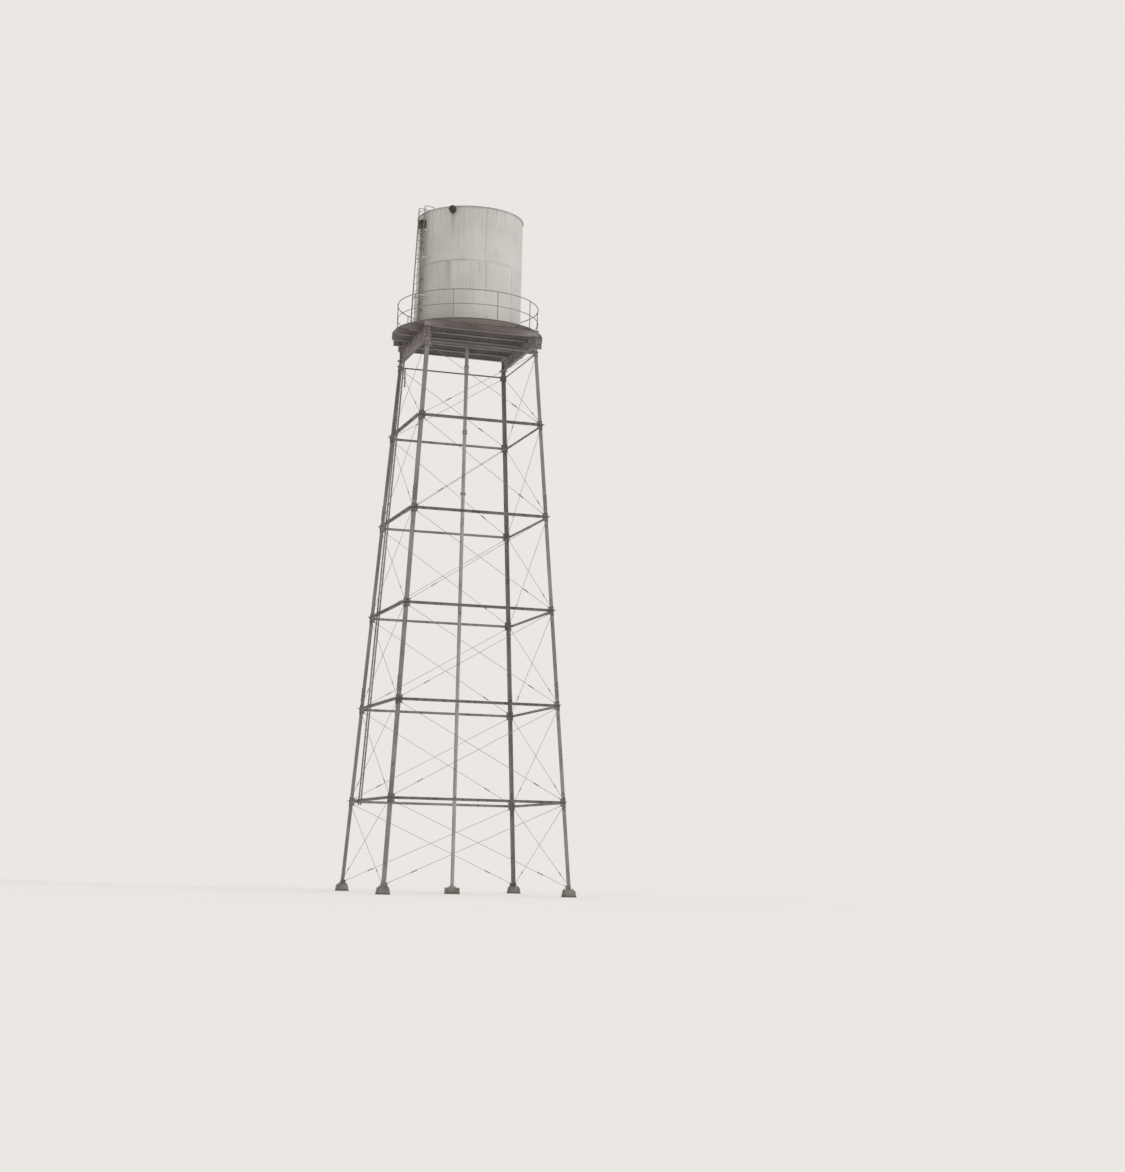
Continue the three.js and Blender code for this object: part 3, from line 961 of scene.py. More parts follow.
@dataclass
class Legs(Assembly):
    """The four leaning angles with their gusset, base, cap and splice plates and bolts."""

    width: float = 0.150
    thick: float = 0.012
    base_half: float = 0.170
    cap_half: float = 0.150
    cap_thick: float = 0.020
    gusset_thick: float = 0.010
    gusset_reach: float = 0.208
    gusset_neck: float = 0.122
    gusset_half: float = 0.190
    gusset_edge: float = 0.128
    gusset_head: float = 0.055
    gusset_corner: float = 0.010
    # Bolts on a gusset, as reach from the leg's heel and rise from the gusset's middle or foot
    gusset_bolts: Spots = ((0.035, 0.155), (0.095, 0.155), (0.075, 0.088), (0.165, 0.120))
    foot_bolts: Spots = ((0.075, 0.060), (0.075, 0.140), (0.165, 0.120))
    bolt: float = 0.020
    anchor: float = 0.024
    anchor_reach: float = 0.125
    anchor_stub: float = 0.045
    cap_bolt_reach: float = 0.105
    cap_bolt_stub: float = 0.012
    splice_rings: Tuple[int, ...] = (1, 3)
    splice_rise: float = 0.620
    splice_half: float = 0.300
    splice_edges: Spot = (0.008, 0.144)
    splice_rows: Spot = (0.108, 0.052)
    splice_bolts: int = 8
    splice_pitch: float = 0.072

    def gusset_outline(self, foot: bool = False, head: bool = False) -> Outline:
        """Outline of a gusset plate.

        Args:
            foot: True for the one on the base plate, which has no lower half.
            head: True for the one at the head ring, which is cut short above.

        Returns:
            Its corners, as reach from the leg's heel and rise.
        """
        half, edge, neck, reach = self.gusset_half, self.gusset_edge, self.gusset_neck, self.gusset_reach
        top, r = self.gusset_head, self.gusset_corner
        low = [(0, 0, 0), (reach, 0, 0)] if foot else [(0, -half, 0), (neck, -half, r), (reach, -edge, r)]
        high = [(reach, top, r), (0, top, 0)] if head else [(reach, edge, r), (neck, half, r), (0, half, 0)]
        return rounded(low + high)

    def on_face(self, turns: int, end: int, level: float) -> Placer:
        """Places on a leg's outer face, by the reach from its heel, the rise from a level, and out."""
        face, half = TOWER.face(turns), self.width / 2
        return lambda reach, rise, out: face(
            end * (TOWER.half_at(level + rise) + half - reach), out, level + rise
        )

    def angle(self, forge: Forge, turns: int) -> None:
        """The leg's own rolled angle, with its base and cap plates.

        Args:
            forge: Where it goes.
            turns: Quarter turns of its corner.
        """
        half = self.width / 2
        place = TOWER.corner(turns)
        cap_low = TOWER.leg_top - self.cap_thick
        section = [(a - half, b - half) for a, b in rolled_angle(self.width, self.thick)]
        forge.prism(section, TOWER.leg_foot_top, cap_low, place)
        for reach, low, high in (
            (self.base_half, TOWER.leg_foot, TOWER.leg_foot_top),
            (self.cap_half, cap_low, TOWER.leg_top),
        ):
            forge.bar((-reach, -reach, low), (reach, reach, high), place, HEAVY_EDGE)

    def plates(self, forge: Forge, bolts: Forge, turns: int, end: int) -> None:
        """Gusset and splice plates of one leg on one face, with their bolts.

        Args:
            forge: Where the plates go.
            bolts: Where the bolts go.
            turns: Quarter turns of the face.
            end: -1 for the leg at the face's left end, 1 for the right.
        """
        inner, outer = self.width / 2, self.width / 2 + self.gusset_thick
        below = [(reach, -rise) for reach, rise in self.gusset_bolts]
        near, far = self.splice_edges
        splice = rectangle((near, -self.splice_half), (far, self.splice_half))
        splice_spots = [
            (self.splice_rows[number % 2], (number - (self.splice_bolts - 1) / 2) * self.splice_pitch)
            for number in range(self.splice_bolts)
        ]
        fitted = [(TOWER.leg_foot_top + BED, self.gusset_outline(foot=True), self.foot_bolts)]
        for index, level in enumerate(TOWER.levels):
            head = index == TOWER.rings
            spots = below if head else below + list(self.gusset_bolts)
            fitted.append((level, self.gusset_outline(head=head), spots))
            if index in self.splice_rings:
                fitted.append((level + self.splice_rise, splice, splice_spots))
        for level, outline, spots in fitted:
            forge.prism(outline, inner, outer, self.on_face(turns, end, level), EDGE)
            for reach, rise in spots:
                along = end * (TOWER.half_at(level + rise) + inner - reach)
                bolts.bolt(TOWER.face_seat(turns, along, outer, level + rise), self.bolt)

    def anchors(self, bolts: Forge, turns: int) -> None:
        """Anchor bolts and nuts through the base plate, and the bolts under the cap plate.

        Args:
            bolts: Where the bolts go.
            turns: Quarter turns of the corner.
        """
        place = TOWER.corner(turns)
        for x, y in product(SIDES, SIDES):
            at = place(x * self.anchor_reach, y * self.anchor_reach, TOWER.leg_foot_top)
            bolts.bolt(Seat.facing(at), self.anchor, stub=self.anchor_stub)
            if x > 0 or y > 0:
                reach = self.cap_bolt_reach
                at = place(x * reach, y * reach, TOWER.leg_top - self.cap_thick)
                bolts.bolt(Seat.facing(at, DOWN), self.bolt, stub=self.cap_bolt_stub)

    def build(self) -> None:
        """Makes the four legs, each with its bolts."""
        for turns, corner in enumerate(CORNERS):
            forge, bolts = Forge(), Forge()
            self.angle(forge, turns)
            self.plates(forge, bolts, turns, -1)
            self.plates(forge, bolts, turns - 1, 1)
            self.anchors(bolts, turns)
            self.deliver(f"leg_steel_{corner}", forge, Finish.STRUCTURE, f"leg_{corner}")
            self.deliver(f"leg_bolts_{corner}", bolts, Finish.FASTENERS)


@dataclass
class Struts(Assembly):
    """The square rings of struts, each of four rolled angles bolted to the gussets."""

    size: float = 0.102
    thick: float = 0.010
    head_size: float = 0.060
    head_thick: float = 0.007
    gusset_face: float = 0.0853
    end_reach: float = 0.084
    bolt: float = 0.020
    # Distances of the bolts from the leg's heel, and how far they lie under the middle of the flange
    bolt_reaches: Row = (0.040, 0.108, 0.176)
    bolt_drop: float = 0.12

    def back(self, size: float) -> float:
        """Distance from the leg centre lines to the back of a strut that stands plumb."""
        return self.gusset_face + TOWER.batter * size / 2

    def ring(self, forge: Forge, bolts: Forge, level: float, size: float, thick: float) -> None:
        """One ring of struts at a level.

        Args:
            forge: Where the angles go.
            bolts: Where their bolts go.
            level: Its level.
            size: Width of the legs of the angle.
            thick: Thickness of the angle.
        """
        plane = TOWER.half_at(level)
        reach = plane + self.end_reach
        section = [(a, level + size / 2 - b) for a, b in reversed(rolled_angle(size, thick))]
        for turns in range(len(FACES)):
            place = Seat.beam(turns, plane + self.back(size), 0.0)
            forge.prism(section, -reach, reach, place, EDGE)
            for end, gap in product(SIDES, self.bolt_reaches):
                along = end * (plane + TOWER.leg_half - gap)
                at = place(thick, level - size * self.bolt_drop, along)
                bolts.bolt(Seat.facing(at, place.across), min(self.bolt, size * 0.2))

    def build(self) -> None:
        """Makes the five rings and the lighter one at the head."""
        for index, level in enumerate(TOWER.levels):
            head = index == TOWER.rings
            size, thick = (self.head_size, self.head_thick) if head else (self.size, self.thick)
            forge, bolts = Forge(), Forge()
            self.ring(forge, bolts, level, size, thick)
            label = "head" if head else str(index + 1)
            self.deliver(f"struts_{label}", forge, Finish.STRUCTURE, f"strut_ring_{label}")
            self.deliver(f"strut_bolts_{label}", bolts, Finish.FASTENERS)


@dataclass
class Rods(Assembly):
    """Crossed round rods with flattened eyes and turnbuckles, one pair in each face of each panel."""

    radius: float = 0.008
    end_inset: float = 0.090
    end_rise: float = 0.120
    plane: float = 0.0657
    behind: float = 0.017
    eye: float = 0.024
    eye_thick: float = 0.009
    eye_bolt: float = 0.018
    eye_stub: float = 0.008
    neck: float = 0.130
    overlap: float = 0.020
    buckle_at: float = 1.150
    buckle: float = 0.240
    buckle_gap: float = 0.017
    bar_half: Spot = (0.005, 0.008)
    bar_end: float = 0.010
    # The profile of a turnbuckle's boss, which sits this far inside its end
    boss: Spots = ((0.017, -0.020), (0.019, -0.015), (0.019, 0.015), (0.017, 0.020))
    boss_inset: float = 0.020

    def end_plate(self, forge: Forge, seat: Seat) -> None:
        """The flattened end of a rod with its bolt.

        Args:
            forge: Where it goes.
            seat: At the eye's middle, with the rod along its across.
        """
        half = self.eye_thick / 2
        tip = [(self.neck, -self.radius), (self.neck, self.radius)]
        forge.prism(tip + arc((0, 0), self.eye, 60, 300, 8), -half, half, seat, FINE_EDGE)
        back = Seat(seat.origin - seat.out * half, seat.across, -seat.up, -seat.out)
        forge.bolt(back, self.eye_bolt, stub=self.eye_stub)

    def turnbuckle(self, forge: Forge, seat: Seat) -> None:
        """A turnbuckle of two bosses and two bars.

        Args:
            forge: Where it goes.
            seat: At its middle, with the rod along its out.
        """
        half = self.buckle / 2
        wide, deep = self.bar_half
        end = half - self.bar_end
        for sign in SIDES:
            inwards = sign * (half - self.boss_inset)
            forge.spindle([(radius, inwards + out) for radius, out in self.boss], 6, seat)
            beside = sign * self.buckle_gap
            forge.bar((beside - wide, -deep, -end), (beside + wide, deep, end), seat)

    def rod(self, forge: Forge, turns: int, start: Spot, end: Spot, out: float) -> None:
        """One rod from eye to eye.

        Args:
            forge: Where it goes.
            turns: Quarter turns of its face.
            start: Lower end, as distance along the face and level.
            end: Upper end.
            out: Distance out of the leg centre lines.
        """
        face = TOWER.face(turns)
        low, high = Vector(face(start[0], out, start[1])), Vector(face(end[0], out, end[1]))
        along = (high - low).normalized()
        normal = TOWER.face_seat(turns, 0.0, 0.0, start[1]).out
        hidden = along * (self.neck - self.overlap)
        forge.tube([low + hidden, high - hidden], self.radius, 12)
        for origin, heading in ((low, along), (high, -along)):
            self.end_plate(forge, Seat(origin, heading, normal.cross(heading).normalized(), normal))
        middle = low + along * self.buckle_at
        self.turnbuckle(forge, Seat(middle, normal.cross(along).normalized(), normal, along))

    def build(self) -> None:
        """Makes every pair of rods."""
        levels = [TOWER.leg_foot_top] + TOWER.levels
        for panel, (below, above) in enumerate(zip(levels, levels[1:]), 1):
            low, high = below + self.end_rise, above - self.end_rise
            wide, narrow = TOWER.half_at(low) - self.end_inset, TOWER.half_at(high) - self.end_inset
            for turns, name in enumerate(FACES):
                forge = Forge()
                self.rod(forge, turns, (-wide, low), (narrow, high), self.plane)
                self.rod(forge, turns, (wide, low), (-narrow, high), self.plane - self.behind)
                label = f"{name}_{panel}"
                self.deliver(f"tie_rods_{label}", forge, Finish.STRUCTURE, f"rods_{label}")


@dataclass
class Platform(Assembly):
    """The girders on the leg tops, the joists across them, and the planked round deck."""

    girder: RolledBeam = RolledBeam(depth=0.390, width=0.150, flange=0.016, web=0.011)
    girder_half: float = 2.370
    stiffener_gap: float = 0.060
    stiffener_half: float = 0.005
    stiffener_edge: float = 0.067
    joist: RolledBeam = RolledBeam(depth=0.2394, width=0.120, flange=0.013, web=0.009)
    joist_count: int = 6
    joist_spacing: float = 0.890
    overrun: float = 0.010
    bolt: float = 0.018
    joist_bolt: Spot = (0.048, 0.035)
    cap_bolt: Spot = (0.045, 0.105)
    bolt_stub: float = 0.008
    radius: float = 3.080
    board_pitch: float = 0.230
    board_gap: float = 0.008
    board_sink: float = 0.002
    board_chamfer: float = 0.003
    # The narrowest boards at the left and right rim
    least_board: Spot = (0.100, 0.050)
    rim_board: float = 0.012
    first_joint: float = -2.330
    hatchway: Row = (-2.790, -2.330, 0.570, 1.130)
    hatchway_slack: float = 0.010
    riser_hole: float = 0.100
    nail: float = 0.009
    nail_sink: float = 0.002
    nail_inset: float = 0.040
    nail_margin: float = 0.030
    nail_reach: Spot = (2.220, 3.020)

    @property
    def girder_offset(self) -> float:
        """Distance of each girder from the centre line."""
        return TOWER.half_at(TOWER.leg_top)

    @property
    def joist_places(self) -> List[float]:
        """Where the joists stand, along Y."""
        middle = (self.joist_count - 1) / 2
        return [(number - middle) * self.joist_spacing for number in range(self.joist_count)]

    @property
    def board_edges(self) -> List[float]:
        """Works out where the boards meet, along X.

        Returns:
            The edges, from one side of the deck to the other.
        """
        reach, (left, right) = self.radius, self.least_board
        first = math.floor((-reach - self.first_joint) / self.board_pitch)
        steps = range(first, first + math.ceil(2 * reach / self.board_pitch) + 1)
        joints = [self.first_joint + step * self.board_pitch for step in steps]
        whole = [x for x in joints if left - reach < x < reach - right]
        return [-reach + self.rim_board] + whole + [reach - self.rim_board]

    def girders(self) -> None:
        """Makes the two girders, with stiffeners over the legs and bolts to the cap plates and joists."""
        foot, head = self.girder.flange, self.girder.depth - self.girder.flange
        half, (cap_x, cap_y), (joist_x, joist_y) = self.stiffener_half, self.cap_bolt, self.joist_bolt
        for side, name in zip(SIDES, ("left", "right")):
            forge, bolts = Forge(), Forge()
            place = Seat.beam(1, side * self.girder_offset, TOWER.girder_base)
            forge.prism(self.girder.outline, -self.girder_half, self.girder_half, place, HEAVY_EDGE)
            for leg, across, step in product(SIDES, SIDES, SIDES):
                near, far = across * self.girder.web / 2, across * self.stiffener_edge
                y = leg * self.girder_offset + step * self.stiffener_gap
                forge.bar((near, foot, y - half), (far, head, y + half), place, FINE_EDGE)
                at = place(across * cap_x, foot, leg * self.girder_offset + step * cap_y)
                bolts.bolt(Seat.facing(at), self.bolt)
            for joist, across, step in product(self.joist_places, SIDES, SIDES):
                at = place(across * joist_x, head, joist + step * joist_y)
                bolts.bolt(Seat.facing(at, DOWN), self.bolt, stub=self.bolt_stub)
            self.deliver(f"girder_beam_{name}", forge, Finish.GIRDERS, f"girder_{name}")
            self.deliver(f"girder_bolts_{name}", bolts, Finish.FASTENERS)

    def joists(self) -> None:
        """Makes the joists, with their bolts to the girders."""
        bolt_x, bolt_y = self.joist_bolt
        bolts = Forge()
        for number, y in enumerate(self.joist_places, 1):
            forge = Forge()
            chord = math.sqrt(self.radius ** 2 - y ** 2) + self.overrun
            reach = max(chord, self.girder_offset + self.girder.width)
            place = Seat.beam(2, y, TOWER.joist_base)
            forge.prism(self.joist.outline, -reach, reach, place, HEAVY_EDGE)
            for side, along, across in product(SIDES, SIDES, SIDES):
                x = side * self.girder_offset + along * bolt_x
                bolts.bolt(Seat.facing(place(across * bolt_y, self.joist.flange, x)), self.bolt)
            self.deliver(f"joist_beam_{number}", forge, Finish.JOISTS, f"joist_{number}")
        self.deliver("joist_bolts", bolts, Finish.FASTENERS)

    def board(self, low: float, high: float, front: float, back: float) -> Outline:
        """Outline of a board, cut to the deck's round edge and round the riser where it reaches them.

        Args:
            low: Its left edge.
            high: Its right edge.
            front: Its front end, if the edge of the deck doesn't come first.
            back: Its back end, if the edge of the deck doesn't come first.

        Returns:
            The outline, anticlockwise.
        """
        steps = 5
        places = [low + (high - low) * step / steps for step in range(steps + 1)]
        rim = [(x, math.sqrt(max(0.0, self.radius ** 2 - x * x))) for x in places]
        front_end = [(x, max(front, -far)) for x, far in rim]
        back_end = [(x, min(back, far)) for x, far in reversed(rim)]
        hole = self.riser_hole
        near, far = max(low, -hole), min(high, hole)
        if near >= far:
            return front_end + back_end
        if near > low:
            return front_end + [(high, -hole), (near, -hole), (near, hole), (high, hole)] + back_end
        return front_end + back_end + [(low, hole), (far, hole), (far, -hole), (low, -hole)]

    def boards(self) -> None:
        """Makes the deck's boards and the nail heads in them."""
        forge, nails = Forge(), Forge()
        left, right, front, back = self.hatchway
        reach, slack, margin = self.radius, self.hatchway_slack, self.nail_margin
        draw = random.Random(11)
        for x0, x1 in zip(self.board_edges, self.board_edges[1:]):
            low, high = x0 + self.board_gap / 2, x1 - self.board_gap / 2
            at_hatchway = left - slack < x0 and x1 < right + slack
            runs = [(-reach, front), (back, reach)] if at_hatchway else [(-reach, reach)]
            top = TOWER.deck_top - draw.uniform(0.0, self.board_sink)
            for start, end in runs:
                outline = self.board(low, high, start, end)
                forge.prism(outline, TOWER.deck_base + BED, top, as_drawn, self.board_chamfer)
                for y, x in product(self.joist_places, (low + self.nail_inset, high - self.nail_inset)):
                    inside = self.nail_reach[0] < math.hypot(x, y) < self.nail_reach[1]
                    if inside and start + margin < y < end - margin:
                        nails.rivet(Seat.facing((x, y, top - self.nail_sink)), self.nail)
        self.deliver("deck_boards", forge, Finish.PLANKS, "deck")
        self.deliver("deck_nails", nails, Finish.FASTENERS)

    def build(self) -> None:
        """Makes the platform."""
        self.girders()
        self.joists()
        self.boards()


@dataclass
class Course(Assembly):
    """One course of the tank: lapped plates with riveted seams."""

    name: str
    finish: Finish
    low: float
    high: float
    radius: float
    first_seam: float
    rows: Row = ()
    plates: int = 5
    steps: int = 42
    thick: float = 0.006
    lap: float = 0.075
    rivet: float = 0.013
    pitch: float = 0.062
    margin: float = 0.050
    # Distances of the two rows of rivets from the edge of a plate, and how deep their heads sit
    seam_rows: Spot = (0.022, 0.056)
    sink: float = 0.0015
    # How far a plate steps in from lap to lap, and its own thickness, as shares of thick
    lap_shares: Spot = (1.02, 0.96)

    def head(self, rivets: Forge, angle: float, level: float) -> None:
        """Puts one rivet head on the outside of the plates, in a direction in degrees."""
        outer = self.radius - self.thick * (((angle - self.first_seam) * self.plates / 360) % 1)
        rivets.rivet(Seat.outward(angle, outer - self.sink, 0, level), self.rivet)

    def build(self) -> None:
        """Makes the plates and their rivets, with the rows that go all the way round."""
        forge, rivets = Forge(), Forge()
        span, (step_in, solid) = TURN / self.plates, self.lap_shares
        rise = self.high - self.low - 2 * self.margin
        count = int(rise / self.pitch)
        for plate in range(self.plates):
            start = math.radians(self.first_seam) + plate * span
            sections = []
            for step in range(self.steps + 1):
                along = (span + self.lap / self.radius) * step / self.steps
                outer = self.radius - self.thick * step_in * along / span
                inner = outer - self.thick * solid
                corners = [(outer, self.low), (outer, self.high), (inner, self.high), (inner, self.low)]
                sections.append(upright(corners, start + along))
            forge.loft(sections)
            for gap, number in product(self.seam_rows, range(count + 1)):
                level = self.low + self.margin + rise * number / count
                self.head(rivets, math.degrees(start + gap / self.radius), level)
        for level, angle in product(self.rows, around(int(TURN * self.radius / self.pitch))):
            self.head(rivets, angle, level)
        self.deliver(f"{self.name}_plates", forge, self.finish, f"{self.name}_course")
        self.deliver(f"{self.name}_rivets", rivets, self.finish)


@dataclass
class Tank(Assembly):
    """The tank's two courses, its floor with a foot angle, its cone roof and the roof hatch."""

    floor_low: float = 22.5803
    floor_thick: float = 0.008
    floor_radius: float = 2.205
    floor_hole: float = 0.050
    lower_radius: float = 2.165
    upper_radius: float = 2.1525
    lower_seam: float = -52.7
    upper_seam: float = -88.7
    seam: float = 25.200
    lap: float = 0.070
    top: float = 27.455
    hoop_sides: int = 160
    foot_leg: float = 0.045
    foot_toe_inset: float = 0.002
    foot_rivets: int = 150
    foot_rivet_rise: float = 0.027
    slope: float = math.tan(math.radians(8))
    roof_plate: float = 0.006
    roof_edge: float = 2.1947
    roof_seat: float = 2.1567
    roof_hole: float = 0.100
    sectors: int = 10
    sector_steps: int = 14
    sector_lap: float = 0.050
    sector_drop: float = 0.005
    sector_slack: float = 1.05
    sector_thick: float = 0.004
    crown_radius: float = 0.160
    crown_rivets: int = 12
    crown_rivet_inset: float = 0.030
    rim_rivets: int = 170
    rim_rivet_inset: float = 0.024
    seam_rivets: int = 26
    seam_rivet_inset: float = 0.022
    seam_rivet_first: float = 0.220
    seam_rivet_pitch: float = 0.076
    eave_leg: float = 0.050
    eave_gap: float = 0.004
    eave_rivet_drop: float = 0.0275
    angle_thick: float = 0.005
    wall_rivet: float = 0.010
    roof_rivet: float = 0.009
    hatch_angle: float = -160.0
    hatch_out: float = 1.210
    hatch_half: float = 0.300
    hatch_clear: float = 0.050
    curb_top: float = 27.680
    curb_thick: float = 0.006
    lid_lip: float = 0.025
    lid_thick: float = 0.025
    lid_skirt: float = 0.035
    hinge_offset: float = 0.170
    hinge_half: float = 0.030
    pin_half: float = 0.050
    pin_radius: float = 0.009
    # The path of the grip, out from the lid's middle and up
    grip: Spots = (
        (0.170, 0.0), (0.170, 0.0150), (0.155, 0.0225), (0.085, 0.0225), (0.070, 0.0150), (0.070, 0.0)
    )
    grip_radius: float = 0.007

    def roof_at(self, radius: float) -> float:
        """Level of the roof's top at a radius."""
        return self.top + GAP + (self.roof_seat - radius) * self.slope + self.roof_plate

    def shell(self) -> None:
        """Makes the two courses, the floor and the angle round its edge."""
        wall = self.floor_low + self.floor_thick + GAP
        Course(
            self.yard, "tank_lower", Finish.LOWER_TANK, wall, self.seam, self.lower_radius,
            self.lower_seam, (self.seam - self.lap / 2,),
        ).build()
        Course(
            self.yard, "tank_upper", Finish.UPPER_TANK, self.seam - self.lap, self.top, self.upper_radius,
            self.upper_seam,
        ).build()
        floor, angle, rivets = Forge(), Forge(), Forge()
        plate = rectangle((self.floor_hole, self.floor_low), (self.floor_radius, wall - GAP))
        floor.hoop(plate, self.hoop_sides)
        inner, toe = self.lower_radius + BED, self.floor_radius - self.foot_toe_inset
        thick, leg = self.angle_thick, self.foot_leg
        angle.hoop([
            (inner, wall), (toe, wall), (toe, wall + thick), (inner + thick, wall + thick),
            (inner + thick, wall + leg), (inner, wall + leg),
        ], self.hoop_sides)
        for direction in around(self.foot_rivets):
            seat = Seat.outward(direction, inner + thick, 0, wall + self.foot_rivet_rise)
            rivets.rivet(seat, self.wall_rivet)
        self.deliver("tank_floor_plate", floor, Finish.LOWER_TANK, "tank_floor")
        self.deliver("tank_foot_angle", angle, Finish.LOWER_TANK)
        self.deliver("tank_foot_rivets", rivets, Finish.LOWER_TANK)

    def roof_rivet_at(self, forge: Forge, angle: float, radius: float, sink: float) -> None:
        """Puts one rivet head on the roof, unless the hatch covers its place.

        Args:
            forge: Where it goes.
            angle: Its direction, in degrees.
            radius: Its distance from the centre line.
            sink: How far it lies under the roof's top.
        """
        at = spoke(angle)(radius, 0, self.roof_at(radius) - sink)
        x, y, _ = spoke(-self.hatch_angle)(at[0], at[1], 0)
        if max(abs(x - self.hatch_out), abs(y)) >= self.hatch_half + self.hatch_clear:
            forge.rivet(Seat.facing(at), self.roof_rivet)

    def roof(self) -> None:
        """Makes the roof's lapped plates, their rivets and the crown plate."""
        forge, rivets, crown = Forge(), Forge(), Forge()
        span = TURN / self.sectors
        section = rectangle((self.roof_hole, 0), (self.roof_edge, -self.sector_thick))
        for sector in range(self.sectors):
            start = math.radians(self.upper_seam) + sector * span
            sections = []
            for step in range(self.sector_steps + 1):
                part = step / self.sector_steps
                lower = self.sector_drop * self.sector_slack * part
                corners = [(radius, self.roof_at(radius) + depth - lower) for radius, depth in section]
                turn = start + (span + self.sector_lap / self.roof_edge) * part
                sections.append(upright(corners, turn))
            forge.loft(sections)
            for number in range(self.seam_rivets):
                radius = self.seam_rivet_first + number * self.seam_rivet_pitch
                angle = math.degrees(start + self.seam_rivet_inset / radius)
                self.roof_rivet_at(rivets, angle, radius, 0.002)
        for angle in around(self.rim_rivets):
            lower = self.sector_drop * (((angle - self.upper_seam) * self.sectors / 360) % 1)
            self.roof_rivet_at(rivets, angle, self.roof_edge - self.rim_rivet_inset, lower + 0.001)
        edge, rim = self.crown_radius, self.roof_at(self.crown_radius)
        crown.hoop([
            (0.004, rim - 0.006), (edge, rim - 0.004), (edge, rim + 0.002), (0.004, self.roof_at(0) - 0.004)
        ], 40)
        for angle in around(self.crown_rivets):
            self.roof_rivet_at(crown, angle, edge - self.crown_rivet_inset, -0.001)
        self.deliver("roof_plates", forge, Finish.ROOF, "tank_roof")
        self.deliver("roof_rivets", rivets, Finish.ROOF)
        self.deliver("roof_crown", crown, Finish.ROOF)

    def eave(self) -> None:
        """Makes the angle that joins the wall and the roof."""
        forge = Forge()
        gap, low, thick = self.eave_gap, self.top - self.eave_leg, self.angle_thick
        wall, lip = self.upper_radius + BED, self.roof_edge - gap
        inner, outer = (self.roof_at(radius) - self.roof_plate - gap for radius in (wall, lip))
        forge.hoop([
            (wall, low), (wall + thick, low), (wall + thick, inner - thick),
            (lip, outer - thick), (lip, outer), (wall, inner),
        ], self.hoop_sides)
        for angle in around(self.rim_rivets):
            seat = Seat.outward(angle, wall + thick, 0, self.top - self.eave_rivet_drop)
            forge.rivet(seat, self.wall_rivet)
        self.deliver("eave_angle", forge, Finish.UPPER_TANK)

    def hatch(self) -> None:
        """Makes the roof hatch: a curb cut to the roof's slope, and a lid with hinges and a grip."""
        forge, iron = Forge(), Forge()
        place, middle = spoke(self.hatch_angle), self.hatch_out
        half, thick, curb = self.hatch_half, self.curb_thick, self.curb_top
        low, high = middle - half + thick, middle + half - thick
        slope = [(out, self.roof_at(out) + 0.001) for out in (low, high)]
        for side in SIDES:
            near, far = sorted((side * half, side * (half - thick)))
            foot = self.roof_at(middle + far) + 0.001
            forge.bar((middle + near, -half, foot), (middle + far, half, curb), place)
            forge.prism(slope + [(high, curb), (low, curb)], near, far, on_edge(place), EDGE)
        lid = half + self.lid_lip
        top, skirt = curb + self.lid_thick, curb - self.lid_skirt
        tiers = (
            (lid, skirt), (lid, curb + 0.006), (lid - 0.006, curb + 0.013),
            (lid - 0.05, curb + 0.015), (lid - 0.07, top - 0.002), (0.06, top),
        )
        forge.loft([
            [place(middle + a, b, level) for a, b in rounded_square(side, side * 0.09)]
            for side, level in tiers
        ])
        edge, wide = middle - lid, self.hinge_half
        for side in SIDES:
            across = side * self.hinge_offset
            iron.bar((edge - 0.004, across - wide, skirt), (edge, across + wide, top - 0.006), place)
            pin = [place(edge - 0.006, across + end * self.pin_half, top - 0.014) for end in SIDES]
            iron.tube(pin, self.pin_radius, 10)
        grip = [place(middle + out, 0, top - 0.024 + rise) for out, rise in self.grip]
        iron.tube(grip, self.grip_radius, 8)
        self.deliver("hatch_box", forge, Finish.ROOF, "roof_hatch")
        self.deliver("hatch_hinges", iron, Finish.FITTINGS)

    def build(self) -> None:
        """Makes the tank."""
        self.shell()
        self.roof()
        self.eave()
        self.hatch()


